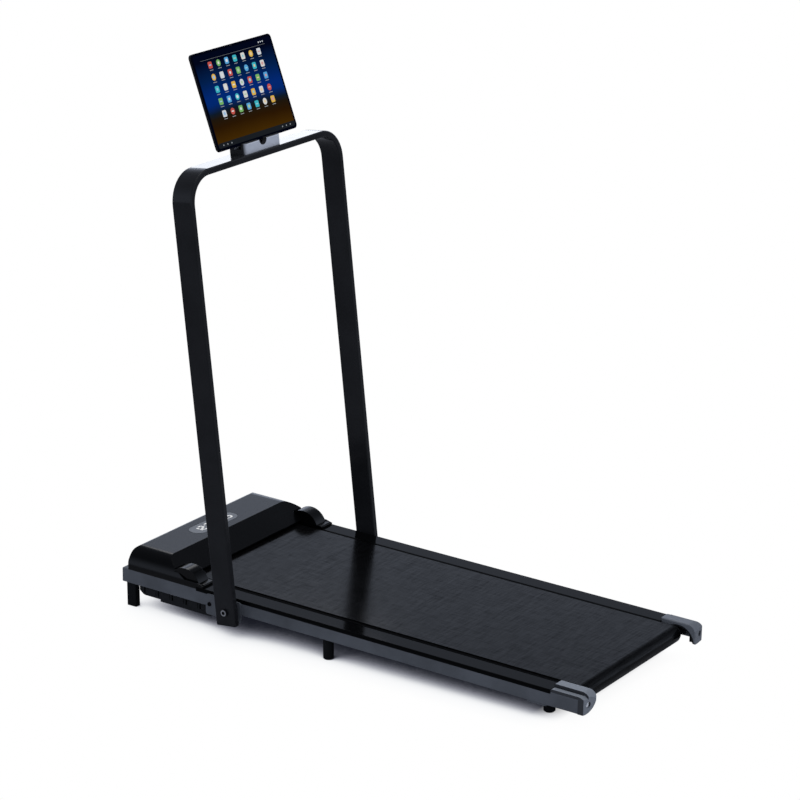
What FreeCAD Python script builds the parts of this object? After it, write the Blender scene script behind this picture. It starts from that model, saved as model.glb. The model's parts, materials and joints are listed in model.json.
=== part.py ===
import FreeCAD, Part
import math
import os

# Walking pad with a folding handrail and a device holder, in millimetres.
# Deck frame: X to the walker's right, Y forward along the rails, Z square to the deck,
# with zero at the rails' underside. The whole deck then leans up at the front on its feet.
# Handrail frame: origin on the fold pivot, Z up along the legs, Y forward across the tube.

Vector = FreeCAD.Vector
X_AXIS = Vector(1, 0, 0)

# Stance on the floor
DECK_INCLINE_DEG = 1.15
RAIL_LIFT = 49.2
DECK_SHIFT = 5.3
CUT_OVERRUN = 60.0
BODY_GAP = 0.3
SHAFT_GAP = 0.05

# Side rails, open channels that face each other
FRAME_WIDTH = 480.0
RAIL_FRONT = 590.0
RAIL_REAR = 580.0
RAIL_HEIGHT = 32.0
RAIL_FLANGE = 26.0
RAIL_WALL = 2.5
RAIL_EDGE_RADIUS = 2.0
RAIL_CUTAWAY = 64.0

# Cross members between the rails
CROSS_DEPTH = 30.0
CROSS_HEIGHT = 16.0
CROSS_WALL = 1.5
CROSS_FLOOR = 2.9
FRONT_CROSS_INSET = 18.0
BAY_CROSS_INSET = 16.0
MID_CROSS_PLACE = 48.0
REAR_CROSS_INSET = 37.0

# Walking belt, deck board and cushions
BELT_EDGE_MARGIN = 6.0
BELT_THICKNESS = 1.6
ROLLER_RADIUS = 17.1
ROLLER_END_INSET = 45.0
ROLLER_WALL = 2.5
ROLLER_DROP = 12.5
FRONT_ROLLER_SETBACK = 160.0
REAR_ROLLER_SETBACK = 27.5
BOARD_EDGE_GAP = 0.3
BOARD_FRONT_GAP = 34.0
BOARD_REAR_GAP = 34.5
CUSHION_THICKNESS = 3.0
CUSHION_LENGTH = 60.0
CUSHION_INSET = 66.0

# Roller axles, bearings and the blocks that hold them
AXLE_RADIUS = 6.0
BEARING_WIDTH = 9.0
AXLE_BLOCK_LENGTH = 22.0
AXLE_BLOCK_WIDTH = 20.0
AXLE_BLOCK_DROP = 10.0
TENSION_BOLT_RADIUS = 4.0
TENSION_HEAD_RADIUS = 6.2
TENSION_HEAD_LENGTH = 13.0
TENSION_BOLT_INSET = 15.0
SOCKET_RADIUS = 3.0
SOCKET_DEPTH = 4.0

# Drive: motor, pulleys and ribbed belt
MOTOR_SETBACK = 86.0
MOTOR_FLOOR_GAP = 4.0
MOTOR_RADIUS = 34.0
MOTOR_LENGTH = 164.0
MOTOR_SIDE_GAP = 30.0
MOTOR_FIN_COUNT = 12
MOTOR_FIN_WIDTH = 4.0
MOTOR_FIN_DEPTH = 2.0
SHAFT_RADIUS = 5.0
PULLEY_STANDOFF = 8.2
PULLEY_WIDTH = 10.0
ROLLER_PULLEY_RADIUS = 26.0
MOTOR_PULLEY_RADIUS = 9.0
FLYWHEEL_RADIUS = 30.0
FLYWHEEL_WIDTH = 16.0
FLYWHEEL_GAP = 8.0
DRIVE_BELT_THICKNESS = 2.0
DRIVE_BELT_WIDTH = 8.0
SADDLE_WIDTH = 24.0
SADDLE_SPREAD = 104.0
SADDLE_RISE = 18.0

# Motor tray of folded sheet and the panelled plastic pan below it, shallower at its front
TRAY_FRONT_MARGIN = 2.0
TRAY_REAR_MARGIN = 4.0
TRAY_DROP = 18.0
TRAY_WALL = 2.0
TRAY_FLANGE = 12.0
PAN_FRONT_MARGIN = 10.0
PAN_LENGTH = 200.0
PAN_SIDE_INSET = 10.0
PAN_DROP = 28.0
PAN_WALL = 2.4
PAN_NOSE = 12.0
PAN_STEP_SETBACK = 58.0
PAN_STEP_RISE = 5.0
PAN_SLOT_COUNT = 5
PAN_SLOT_END_ROOM = 8.0
PAN_SLOT_INSET = 14.0
PAN_SLOT_WIDTH = 4.0
PAN_SLOT_MARGIN = 5.0
PAN_PANEL_WIDTH = 24.0
PAN_PANEL_PROUD = 1.2
PAN_FLANGE_SIDE_INSET = 22.0

# Controller board with its heat sink, on the tray
CONTROLLER_INSET = 8.0
CONTROLLER_WIDTH = 96.0
CONTROLLER_DEPTH = 60.0
HEAT_SINK_BASE = 4.0
HEAT_SINK_HEIGHT = 20.0
HEAT_SINK_FIN = 3.0
HEAT_SINK_FIN_COUNT = 8
BOARD_THICKNESS = 1.6
CAN_RADIUS = 10.0
CAN_PLACE_SHARES = (0.2, 0.5, 0.8)

# Motor hood
HOOD_HEIGHT = 46.0
HOOD_FRONT_INSET = 14.0
HOOD_TOP_LENGTH = 95.5
HOOD_LENGTH = 152.0
HOOD_SLOPE_DEG = 28.6
HOOD_WALL = 3.0
HOOD_SIDE_RADIUS = 44.0
HOOD_FRONT_RADIUS = 9.0
HOOD_CORNER_RADIUS = 3.5
HOOD_NOTCH_LENGTH = 26.0
HOOD_TAIL_WIDTH = 6.0
HOOD_TAIL_SLANT = 16.0
HOOD_TAIL_RISE = 12.5
HOOD_TAIL_TIP_RISE = 8.0

# Display window in the hood's top and its board below
DISPLAY_WIDTH = 148.0
DISPLAY_DEPTH = 44.0
DISPLAY_RADIUS = 20.0
DISPLAY_SETBACK = 52.0
DISPLAY_POCKET = 1.2
DISPLAY_BOARD_WIDTH = 120.0
DISPLAY_BOARD_DEPTH = 30.0

# Mains inlet and rocker switch in the hood's front wall
INLET_SIDE_INSET = 90.0
INLET_RISE = 20.0
INLET_WIDTH = 27.0
INLET_TALL = 19.0
INLET_DEPTH = 22.0
INLET_WALL = 1.6
INLET_FLANGE = 3.0
INLET_FLANGE_THICKNESS = 1.5
INLET_PIN_WIDTH = 4.0
INLET_PIN_THICKNESS = 2.0
INLET_PIN_RECESS = 6.5
INLET_PIN_SPREAD = 7.0
SWITCH_SPACING = 54.0
SWITCH_WIDTH = 15.0
SWITCH_TALL = 21.0
SWITCH_DEPTH = 16.0
SWITCH_PROUD = 1.2
SWITCH_WALL = 1.5
ROCKER_TILT_DEG = 8.0
ROCKER_RADIUS = 22.0
ROCKER_DEPTH = 5.0
ROCKER_PLAY = 0.7
ROCKER_PIN_RADIUS = 1.2

# Arched covers over the roller ends, beside the hood's slope
WING_RADIUS = 42.0
WING_SETBACK = 8.5
WING_SINK = 10.0
WING_WALL = 2.4
WING_FLANGE_REACH = 53.5
WING_FLANGE = 6.0

# Foot strips on the rails
STRIP_WIDTH = 40.0
STRIP_THICKNESS = 4.5
STRIP_FRONT_GAP = 44.0
STRIP_EDGE_RADIUS = 1.2
STRIP_LIP = 2.0
STRIP_LIP_DROP = 6.0

# End caps behind the rails
CAP_OVERLAP = 65.0
CAP_THICKNESS = 21.0
LEFT_CAP_SLANT = 8.0
RIGHT_CAP_SLANT = 5.0
CAP_LEDGE_RISE = 1.5
CAP_GROOVE_DROP = 0.5
CAP_PRONG_RISE = 8.0
CAP_PRONG_WIDTH = 25.0
CAP_LEDGE_WIDTH = 12.0
CAP_REAR_RADIUS = 21.0
CAP_FRONT_RADIUS = 5.0
CAP_FOOT_RADIUS = 4.0
LEFT_CAP_CORNER_RADIUS = 36.0
RIGHT_CAP_CORNER_RADIUS = 9.0
CAP_EDGE_RADIUS = 3.0
CAP_TIP_RADIUS = 8.0
CAP_TOP_RADIUS = 3.0
CAP_HOLLOW_SETBACK = 20.0
CAP_HOLLOW_RADIUS = 34.5
CAP_GROOVE_END = 16.0

# Fold pivot of the handrail
PIVOT_SETBACK = 83.0
PIVOT_HEIGHT = 11.6
PIVOT_RADIUS = 6.0
PIVOT_HEAD_RADIUS = 8.5
PIVOT_HEAD_LENGTH = 4.5
PIVOT_NUT_RADIUS = 9.0
PIVOT_NUT_LENGTH = 6.0
BUSH_RADIUS = 15.0
BUSH_LENGTH = 11.7
BRACKET_THICKNESS = 4.0
BRACKET_FRONT_REACH = 71.0
BRACKET_REAR_REACH = 23.0
BRACKET_DROP = 17.0
BRACKET_RADIUS = 6.0
BRACKET_SCREW_INSET = 10.0
BRACKET_SCREW_HEIGHT = 7.5
BRACKET_SCREW_RADIUS = 2.5
BRACKET_SCREW_HEAD = 4.5
BRACKET_SCREW_PROUD = 2.0
BRACKET_SCREW_SOCKET = 1.2

# Handrail, one bent flat tube
HANDRAIL_LEAN_DEG = 7.08
TUBE_DEPTH = 50.8
TUBE_THICKNESS = 14.0
TUBE_WALL = 1.5
TUBE_EDGE_RADIUS = 2.5
TUBE_BEND_RADIUS = 62.0
HANDRAIL_TOP = 955.0
LEG_BELOW_PIVOT = 27.0
PLUG_THICKNESS = 3.0
PLUG_DEPTH = 18.0

# Device holder on the bar and the tablet in it
HOLDER_WIDTH = 126.0
HOLDER_REAR = -18.0
HOLDER_FRONT = 24.0
HOLDER_FLOOR = 20.0
HOLDER_LIP = 23.0
HOLDER_BACK = 40.0
HOLDER_BACK_PLACE = 6.0
HOLDER_EDGE_RADIUS = 3.0
HOLDER_CORNER_RADIUS = 10.0
HOLDER_CHANNEL_FRONT = 10.8
HOLDER_CHANNEL_FLOOR = 10.5
HOLDER_RIB_WIDTH = 14.0
HOLDER_NOTCH_RADIUS = 13.0
HOLDER_SCREW_SPREAD = 84.0
HOLDER_SCREW_RADIUS = 2.2
HOLDER_SCREW_HEAD = 4.2
HOLDER_SCREW_HEAD_LENGTH = 2.2
TABLET_TILT_DEG = 14.1
TABLET_WIDTH = 279.0
TABLET_HEIGHT = 211.0
TABLET_THICKNESS = 6.0
TABLET_GLASS = 1.0
TABLET_RADIUS = 9.0
TABLET_PLACE = -7.2
TABLET_GAP = 0.4

# Feet
FRONT_FOOT_END_INSET = 11.5
FRONT_FOOT_SIDE_INSET = 14.5
FRONT_FOOT_WIDTH = 15.0
FRONT_FOOT_DEPTH = 25.0
FRONT_FOOT_RADIUS = 2.0
MID_FOOT_SIDE_INSET = 21.0
MID_FOOT_RADIUS = 11.5
REAR_FOOT_SIDE_INSET = 55.0
REAR_FOOT_RADIUS = 12.5
FOOT_CHAMFER = 2.5
FOOT_PLATE_WIDTH = 69.5
FOOT_PLATE_DEPTH = 46.0
FOOT_PLATE_THICKNESS = 4.0

# Small screws of the pan
SCREW_RADIUS = 2.0
SCREW_HEAD_RADIUS = 4.0
SCREW_HEAD_LENGTH = 2.0
PAN_SCREW_SIDE_INSET = 8.0
PAN_SCREW_INSET = 14.0
PAN_TAB_DEPTH = 16.0

# Sizes across the part that follow from those above
HALF_FRAME = FRAME_WIDTH / 2
RAIL_INNER = HALF_FRAME - RAIL_FLANGE
WEB_INNER = HALF_FRAME - RAIL_WALL
STRIP_INNER = HALF_FRAME - STRIP_WIDTH
ROLLER_LENGTH = FRAME_WIDTH - 2 * ROLLER_END_INSET
BELT_WIDTH = ROLLER_LENGTH - 2 * BELT_EDGE_MARGIN
DECK_BOARD_WIDTH = 2 * (STRIP_INNER - BOARD_EDGE_GAP)
CUSHION_SPREAD = DECK_BOARD_WIDTH / 2 - CUSHION_INSET
PULLEY_LEFT = ROLLER_LENGTH / 2 + PULLEY_STANDOFF
PULLEY_RIGHT = PULLEY_LEFT + PULLEY_WIDTH
CONTROLLER_LEFT = CONTROLLER_INSET - RAIL_INNER
MOTOR_LEFT = CONTROLLER_LEFT + CONTROLLER_WIDTH + MOTOR_SIDE_GAP
MOTOR_RIGHT = MOTOR_LEFT + MOTOR_LENGTH
PAN_HALF_WIDTH = HALF_FRAME - PAN_SIDE_INSET
PAN_SCREW_SIDE = PAN_HALF_WIDTH - PAN_SCREW_SIDE_INSET
WING_OUTER = HALF_FRAME - HOOD_TAIL_WIDTH
INLET_PLACE = HALF_FRAME - INLET_SIDE_INSET
SWITCH_PLACE = INLET_PLACE - SWITCH_SPACING
FRONT_FOOT_OUTER = HALF_FRAME - FRONT_FOOT_SIDE_INSET
MID_FOOT_SIDE = HALF_FRAME - MID_FOOT_SIDE_INSET
REAR_FOOT_SIDE = HALF_FRAME - REAR_FOOT_SIDE_INSET
FOOT_PLATE_INNER = WEB_INNER - FOOT_PLATE_WIDTH
BRACKET_OUTER = HALF_FRAME + BRACKET_THICKNESS
BUSH_OUTER = BRACKET_OUTER + BUSH_LENGTH
LEG_INNER = BUSH_OUTER + BODY_GAP
HALF_HANDRAIL = LEG_INNER + TUBE_THICKNESS
LEG_MIDDLE = HALF_HANDRAIL - TUBE_THICKNESS / 2

# Places along the rails, from the front and from the rear
FRONT_CROSS_PLACE = RAIL_FRONT - FRONT_CROSS_INSET
FRONT_FOOT_PLACE = RAIL_FRONT - FRONT_FOOT_END_INSET
MOTOR_PLACE = RAIL_FRONT - MOTOR_SETBACK
TRAY_FRONT = MOTOR_PLACE + MOTOR_RADIUS + TRAY_FRONT_MARGIN
TRAY_REAR = MOTOR_PLACE - MOTOR_RADIUS - TRAY_REAR_MARGIN
PAN_FRONT = TRAY_FRONT + PAN_FRONT_MARGIN
PAN_REAR = PAN_FRONT - PAN_LENGTH
PAN_STEP = PAN_FRONT - PAN_STEP_SETBACK
PAN_SLOT_FRONT = PAN_FRONT - PAN_SLOT_INSET
PAN_SLOT_PITCH = (PAN_LENGTH - PAN_SLOT_END_ROOM) / PAN_SLOT_COUNT
HOOD_FRONT = RAIL_FRONT - HOOD_FRONT_INSET
HOOD_BREAK = HOOD_FRONT - HOOD_TOP_LENGTH
HOOD_LIP = HOOD_FRONT - HOOD_LENGTH
HOOD_NOTCH = HOOD_LIP + HOOD_NOTCH_LENGTH
DISPLAY_PLACE = HOOD_FRONT - DISPLAY_SETBACK
FRONT_ROLLER_PLACE = RAIL_FRONT - FRONT_ROLLER_SETBACK
DECK_BOARD_FRONT = FRONT_ROLLER_PLACE - BOARD_FRONT_GAP
BAY_CROSS_PLACE = DECK_BOARD_FRONT - BAY_CROSS_INSET
STRIP_FRONT = FRONT_ROLLER_PLACE - STRIP_FRONT_GAP
WING_PLACE = FRONT_ROLLER_PLACE - WING_SETBACK
WING_REAR = WING_PLACE - WING_FLANGE_REACH
HOOD_TAIL_TIP = WING_REAR
HOOD_TAIL_SHOULDER = HOOD_TAIL_TIP + HOOD_TAIL_SLANT
PIVOT_PLACE = WING_REAR - PIVOT_SETBACK
BRACKET_FRONT = PIVOT_PLACE + BRACKET_FRONT_REACH
BRACKET_REAR = PIVOT_PLACE - BRACKET_REAR_REACH
BRACKET_SCREW_PLACE = BRACKET_FRONT - BRACKET_SCREW_INSET
REAR_ROLLER_PLACE = REAR_ROLLER_SETBACK - RAIL_REAR
DECK_BOARD_REAR = REAR_ROLLER_PLACE + BOARD_REAR_GAP
REAR_CROSS_PLACE = DECK_BOARD_REAR + REAR_CROSS_INSET
CAP_FRONT = RAIL_REAR - CAP_OVERLAP
CAP_REAR = RAIL_REAR + CAP_THICKNESS
CAP_GROOVE_REAR = CAP_REAR - CAP_GROOVE_END
CAP_HOLLOW_PLACE = CAP_HOLLOW_SETBACK - RAIL_REAR
CROSS_PLACES = (BAY_CROSS_PLACE, MID_CROSS_PLACE, REAR_CROSS_PLACE)

# Heights above the rails' underside
STRIP_TOP = RAIL_HEIGHT + STRIP_THICKNESS
ROLLER_HEIGHT = RAIL_HEIGHT - ROLLER_DROP
BELT_INNER_RADIUS = ROLLER_RADIUS + BODY_GAP
BELT_OUTER_RADIUS = BELT_INNER_RADIUS + BELT_THICKNESS
DECK_TOP = ROLLER_HEIGHT + BELT_INNER_RADIUS
CROSS_TOP = CROSS_FLOOR + CROSS_HEIGHT
DECK_UNDERSIDE = CROSS_TOP + CUSHION_THICKNESS
MOTOR_HEIGHT = TRAY_WALL - TRAY_DROP + MOTOR_FLOOR_GAP + MOTOR_RADIUS
HOOD_TOP = RAIL_HEIGHT + HOOD_HEIGHT
HOOD_INNER_TOP = HOOD_TOP - HOOD_WALL
INLET_HEIGHT = RAIL_HEIGHT + INLET_RISE
WING_HEIGHT = STRIP_TOP - WING_SINK
CAP_LEDGE_TOP = STRIP_TOP + CAP_LEDGE_RISE
CAP_GROOVE_TOP = STRIP_TOP - CAP_GROOVE_DROP
CAP_PRONG_TOP = STRIP_TOP + CAP_PRONG_RISE

# Places of the deck and of the handrail in the part's own frame
INCLINE = FreeCAD.Placement(
    Vector(0, DECK_SHIFT, RAIL_LIFT), FreeCAD.Rotation(X_AXIS, DECK_INCLINE_DEG))
LEAN = INCLINE * FreeCAD.Placement(
    Vector(0, PIVOT_PLACE, PIVOT_HEIGHT), FreeCAD.Rotation(X_AXIS, -HANDRAIL_LEAN_DEG))


# Building blocks

def box(x, y, z):
    """A box from three (low, high) pairs."""
    return Part.makeBox(x[1] - x[0], y[1] - y[0], z[1] - z[0], Vector(x[0], y[0], z[0]))


def rod_x(radius, x, y, z):
    """A cylinder along X, from x[0] to x[1]."""
    return Part.makeCylinder(radius, x[1] - x[0], Vector(x[0], y, z), X_AXIS)


def rod_y(radius, x, y, z):
    """A cylinder along Y, from y[0] to y[1]."""
    return Part.makeCylinder(radius, y[1] - y[0], Vector(x, y[0], z), Vector(0, 1, 0))


def rod_z(radius, x, y, z):
    """A cylinder along Z, from z[0] to z[1]."""
    return Part.makeCylinder(radius, z[1] - z[0], Vector(x, y, z[0]), Vector(0, 0, 1))


def ring_x(outer, inner, x, y, z):
    """A tube along X."""
    return rod_x(outer, x, y, z).cut(rod_x(inner, x, y, z))


def corner_arc(before, corner, after):
    """Start, middle and end of the round at a corner (a, b, radius)."""
    here = Vector(corner[0], corner[1], 0)
    back = (Vector(before[0], before[1], 0) - here).normalize()
    ahead = (Vector(after[0], after[1], 0) - here).normalize()
    half = back.getAngle(ahead) / 2
    radius = corner[2]
    inward = (back + ahead).normalize()
    reach = radius / math.tan(half)
    middle = here + inward * (radius / math.sin(half) - radius)
    return here + back * reach, middle, here + ahead * reach


def outline(corners, lift):
    """A closed wire through corners (a, b, radius); lift turns (a, b) into a point."""
    edges = []
    stretches = []
    for index, corner in enumerate(corners):
        before = corners[index - 1]
        after = corners[(index + 1) % len(corners)]
        if corner[2]:
            stretches.append(corner_arc(before, corner, after))
        else:
            point = Vector(corner[0], corner[1], 0)
            stretches.append((point, point, point))
    for index, (start, middle, end) in enumerate(stretches):
        if corners[index][2]:
            edges.append(Part.Arc(lift(start), lift(middle), lift(end)).toShape())
        following = stretches[(index + 1) % len(stretches)][0]
        if (following - end).Length > 0:
            edges.append(Part.LineSegment(lift(end), lift(following)).toShape())
    return Part.Wire(edges)


def prism_x(corners, x):
    """An outline of (y, z, radius) corners drawn out along X."""
    wire = outline(corners, lambda p: Vector(x[0], p.x, p.y))
    return Part.Face(wire).extrude(Vector(x[1] - x[0], 0, 0))


def prism_y(corners, y):
    """An outline of (x, z, radius) corners drawn out along Y."""
    wire = outline(corners, lambda p: Vector(p.x, y[0], p.y))
    return Part.Face(wire).extrude(Vector(0, y[1] - y[0], 0))


def prism_z(corners, z):
    """An outline of (x, y, radius) corners drawn out along Z."""
    wire = outline(corners, lambda p: Vector(p.x, p.y, z[0]))
    return Part.Face(wire).extrude(Vector(0, 0, z[1] - z[0]))


def rectangle(a, b, radius):
    """Corners of a rectangle from two (low, high) pairs, all rounded alike."""
    return [(a[0], b[0], radius), (a[1], b[0], radius), (a[1], b[1], radius), (a[0], b[1], radius)]


def middle_span(length):
    """A (low, high) pair of the given length about zero."""
    return (-length / 2, length / 2)


def span_about(place, length):
    """A (low, high) pair of the given length about a place."""
    return (place - length / 2, place + length / 2)


def mirrored(shape):
    """The same piece on the other side of the part."""
    return shape.mirror(Vector(0, 0, 0), X_AXIS)


def both_sides(shape):
    """A piece and its mirror image, as two solids of one group."""
    return Part.makeCompound([shape, mirrored(shape)])


# Frame

def side_rail():
    """Right-hand channel, open towards the middle, its lower flange cut away at the rear roller."""
    low, high = RAIL_INNER, HALF_FRAME
    corners = [
        (low, 0, 0), (high, 0, RAIL_EDGE_RADIUS), (high, RAIL_HEIGHT, RAIL_EDGE_RADIUS),
        (low, RAIL_HEIGHT, 0), (low, RAIL_HEIGHT - RAIL_WALL, 0),
        (WEB_INNER, RAIL_HEIGHT - RAIL_WALL, 0), (WEB_INNER, RAIL_WALL, 0), (low, RAIL_WALL, 0)]
    rail = prism_y(corners, (-RAIL_REAR, RAIL_FRONT))
    pivot_hole = rod_x(PIVOT_RADIUS, (WEB_INNER, HALF_FRAME), PIVOT_PLACE, PIVOT_HEIGHT)
    screw_hole = rod_x(
        BRACKET_SCREW_RADIUS, (WEB_INNER, HALF_FRAME), BRACKET_SCREW_PLACE, BRACKET_SCREW_HEIGHT)
    cutaway = box((low, WEB_INNER), (-RAIL_REAR, -RAIL_REAR + RAIL_CUTAWAY), (0, RAIL_WALL))
    return rail.cut([pivot_hole, screw_hole, cutaway])


def cross_member(place):
    """Box tube between the rails' webs."""
    outer = box(middle_span(2 * WEB_INNER), span_about(place, CROSS_DEPTH), (CROSS_FLOOR, CROSS_TOP))
    inner_depth = CROSS_DEPTH - 2 * CROSS_WALL
    inner = box(
        middle_span(2 * WEB_INNER), span_about(place, inner_depth),
        (CROSS_FLOOR + CROSS_WALL, CROSS_TOP - CROSS_WALL))
    return outer.cut(inner)


def front_cross_member():
    """Taller tube that closes the frame in front of the motor."""
    floor, top = RAIL_WALL, RAIL_HEIGHT - RAIL_WALL
    outer = box(middle_span(2 * WEB_INNER), span_about(FRONT_CROSS_PLACE, CROSS_DEPTH), (floor, top))
    inner_depth = CROSS_DEPTH - 2 * CROSS_WALL
    inner = box(
        middle_span(2 * WEB_INNER), span_about(FRONT_CROSS_PLACE, inner_depth),
        (floor + CROSS_WALL, top - CROSS_WALL))
    return outer.cut(inner)


def foot_strip():
    """Right-hand strip to stand on, with a lip down beside the belt."""
    low, high = STRIP_INNER, HALF_FRAME
    corners = [
        (high, RAIL_HEIGHT, 0), (high, STRIP_TOP, STRIP_EDGE_RADIUS),
        (low, STRIP_TOP, STRIP_EDGE_RADIUS), (low, RAIL_HEIGHT - STRIP_LIP_DROP, 0),
        (low + STRIP_LIP, RAIL_HEIGHT - STRIP_LIP_DROP, 0), (low + STRIP_LIP, RAIL_HEIGHT, 0)]
    return prism_y(corners, (-CAP_FRONT, STRIP_FRONT))


def deck_board():
    """Board under the belt's upper run."""
    return box(
        middle_span(DECK_BOARD_WIDTH), (DECK_BOARD_REAR, DECK_BOARD_FRONT), (DECK_UNDERSIDE, DECK_TOP))


def deck_cushions():
    """Rubber pads between the board and the cross members."""
    pads = []
    for place in CROSS_PLACES:
        for side in (-CUSHION_SPREAD, CUSHION_SPREAD):
            pads.append(box(
                span_about(side, CUSHION_LENGTH), span_about(place, CROSS_DEPTH),
                (CROSS_TOP, DECK_UNDERSIDE)))
    return Part.makeCompound(pads)


# Belt and rollers

def belt_loop(radius, width_span, front, rear):
    """Solid block bounded by a loop of the given radius round two (y, z) centres of one height."""
    low, high = ROLLER_HEIGHT - radius, ROLLER_HEIGHT + radius
    middle = box(width_span, (rear, front), (low, high))
    return middle.fuse([
        rod_x(radius, width_span, front, ROLLER_HEIGHT), rod_x(radius, width_span, rear, ROLLER_HEIGHT)])


def walking_belt():
    """Endless belt round both rollers."""
    span = middle_span(BELT_WIDTH)
    outer = belt_loop(BELT_OUTER_RADIUS, span, FRONT_ROLLER_PLACE, REAR_ROLLER_PLACE)
    inner = belt_loop(BELT_INNER_RADIUS, span, FRONT_ROLLER_PLACE, REAR_ROLLER_PLACE)
    return outer.cut(inner).removeSplitter()


def roller(place):
    """Steel tube of a roller."""
    return ring_x(
        ROLLER_RADIUS, ROLLER_RADIUS - ROLLER_WALL, middle_span(ROLLER_LENGTH), place, ROLLER_HEIGHT)


def roller_axle(place):
    """Fixed axle that the roller turns on."""
    return rod_x(AXLE_RADIUS, middle_span(2 * WEB_INNER), place, ROLLER_HEIGHT)


def roller_bearings(place):
    """Two bearings pressed into the ends of a roller."""
    outer = ROLLER_LENGTH / 2
    bearing = ring_x(
        ROLLER_RADIUS - ROLLER_WALL, AXLE_RADIUS + SHAFT_GAP, (outer - BEARING_WIDTH, outer),
        place, ROLLER_HEIGHT)
    return both_sides(bearing)


def axle_block(place):
    """Right-hand block in the rail that holds an axle's end."""
    block = box(
        (WEB_INNER - AXLE_BLOCK_WIDTH, WEB_INNER), span_about(place, AXLE_BLOCK_LENGTH),
        (ROLLER_HEIGHT - AXLE_BLOCK_DROP, RAIL_HEIGHT - RAIL_WALL))
    bore = rod_x(AXLE_RADIUS, (RAIL_INNER - CUT_OVERRUN, HALF_FRAME), place, ROLLER_HEIGHT)
    return block.cut(bore)


def tension_blocks():
    """Rear axle blocks, bored for the tension bolts."""
    block = axle_block(REAR_ROLLER_PLACE)
    bore = rod_y(
        TENSION_BOLT_RADIUS, HALF_FRAME - TENSION_BOLT_INSET,
        (-CAP_REAR, REAR_ROLLER_PLACE - AXLE_RADIUS), ROLLER_HEIGHT)
    return both_sides(block.cut(bore))


def tension_bolts():
    """Socket-head bolts that pull the rear axle back."""
    side = HALF_FRAME - TENSION_BOLT_INSET
    head_end = -RAIL_REAR - TENSION_HEAD_LENGTH
    shank = rod_y(TENSION_BOLT_RADIUS, side, (-RAIL_REAR, REAR_ROLLER_PLACE - AXLE_RADIUS), ROLLER_HEIGHT)
    head = rod_y(TENSION_HEAD_RADIUS, side, (head_end, -RAIL_REAR), ROLLER_HEIGHT)
    socket = rod_y(SOCKET_RADIUS, side, (head_end, head_end + SOCKET_DEPTH), ROLLER_HEIGHT)
    return both_sides(shank.fuse(head).cut(socket).removeSplitter())


# Drive

def roller_pulley():
    """Pulley on the right-hand end of the front roller."""
    hub = rod_x(
        ROLLER_RADIUS - ROLLER_WALL, (ROLLER_LENGTH / 2, PULLEY_RIGHT), FRONT_ROLLER_PLACE, ROLLER_HEIGHT)
    rim = rod_x(ROLLER_PULLEY_RADIUS, (PULLEY_LEFT, PULLEY_RIGHT), FRONT_ROLLER_PLACE, ROLLER_HEIGHT)
    bore = rod_x(
        AXLE_RADIUS + SHAFT_GAP, (ROLLER_LENGTH / 2, PULLEY_RIGHT), FRONT_ROLLER_PLACE, ROLLER_HEIGHT)
    return hub.fuse(rim).cut(bore).removeSplitter()


def motor_body():
    """Finned can of the motor, bored for its shaft."""
    span = (MOTOR_LEFT, MOTOR_RIGHT)
    body = rod_x(MOTOR_RADIUS, span, MOTOR_PLACE, MOTOR_HEIGHT)
    grooves = []
    fin_span = (MOTOR_LEFT + SADDLE_WIDTH, MOTOR_RIGHT - SADDLE_WIDTH)
    for index in range(MOTOR_FIN_COUNT):
        groove = box(
            fin_span, span_about(MOTOR_PLACE, MOTOR_FIN_WIDTH),
            (MOTOR_HEIGHT + MOTOR_RADIUS - MOTOR_FIN_DEPTH, MOTOR_HEIGHT + MOTOR_RADIUS))
        groove.rotate(Vector(0, MOTOR_PLACE, MOTOR_HEIGHT), X_AXIS, 360 * index / MOTOR_FIN_COUNT)
        grooves.append(groove)
    bore = rod_x(SHAFT_RADIUS + SHAFT_GAP, span, MOTOR_PLACE, MOTOR_HEIGHT)
    return body.cut(grooves + [bore])


def motor_saddles():
    """Two cradles that carry the motor on the tray."""
    cradles = []
    for side in (-SADDLE_SPREAD / 2, SADDLE_SPREAD / 2):
        middle = (MOTOR_LEFT + MOTOR_RIGHT) / 2 + side
        block = box(
            span_about(middle, SADDLE_WIDTH), span_about(MOTOR_PLACE, 2 * MOTOR_RADIUS),
            (-TRAY_DROP + TRAY_WALL, -TRAY_DROP + TRAY_WALL + SADDLE_RISE))
        seat = rod_x(MOTOR_RADIUS, span_about(middle, SADDLE_WIDTH), MOTOR_PLACE, MOTOR_HEIGHT)
        cradles.append(block.cut(seat))
    return Part.makeCompound(cradles)


def motor_shaft():
    """Shaft from the motor's left end to its pulley."""
    return rod_x(SHAFT_RADIUS, (MOTOR_LEFT, PULLEY_RIGHT), MOTOR_PLACE, MOTOR_HEIGHT)


def motor_pulley():
    """Small pulley on the motor shaft."""
    return ring_x(
        MOTOR_PULLEY_RADIUS, SHAFT_RADIUS, (PULLEY_LEFT, PULLEY_RIGHT), MOTOR_PLACE, MOTOR_HEIGHT)


def flywheel():
    """Flywheel beside the motor."""
    low = MOTOR_RIGHT + FLYWHEEL_GAP
    return ring_x(FLYWHEEL_RADIUS, SHAFT_RADIUS, (low, low + FLYWHEEL_WIDTH), MOTOR_PLACE, MOTOR_HEIGHT)


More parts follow.
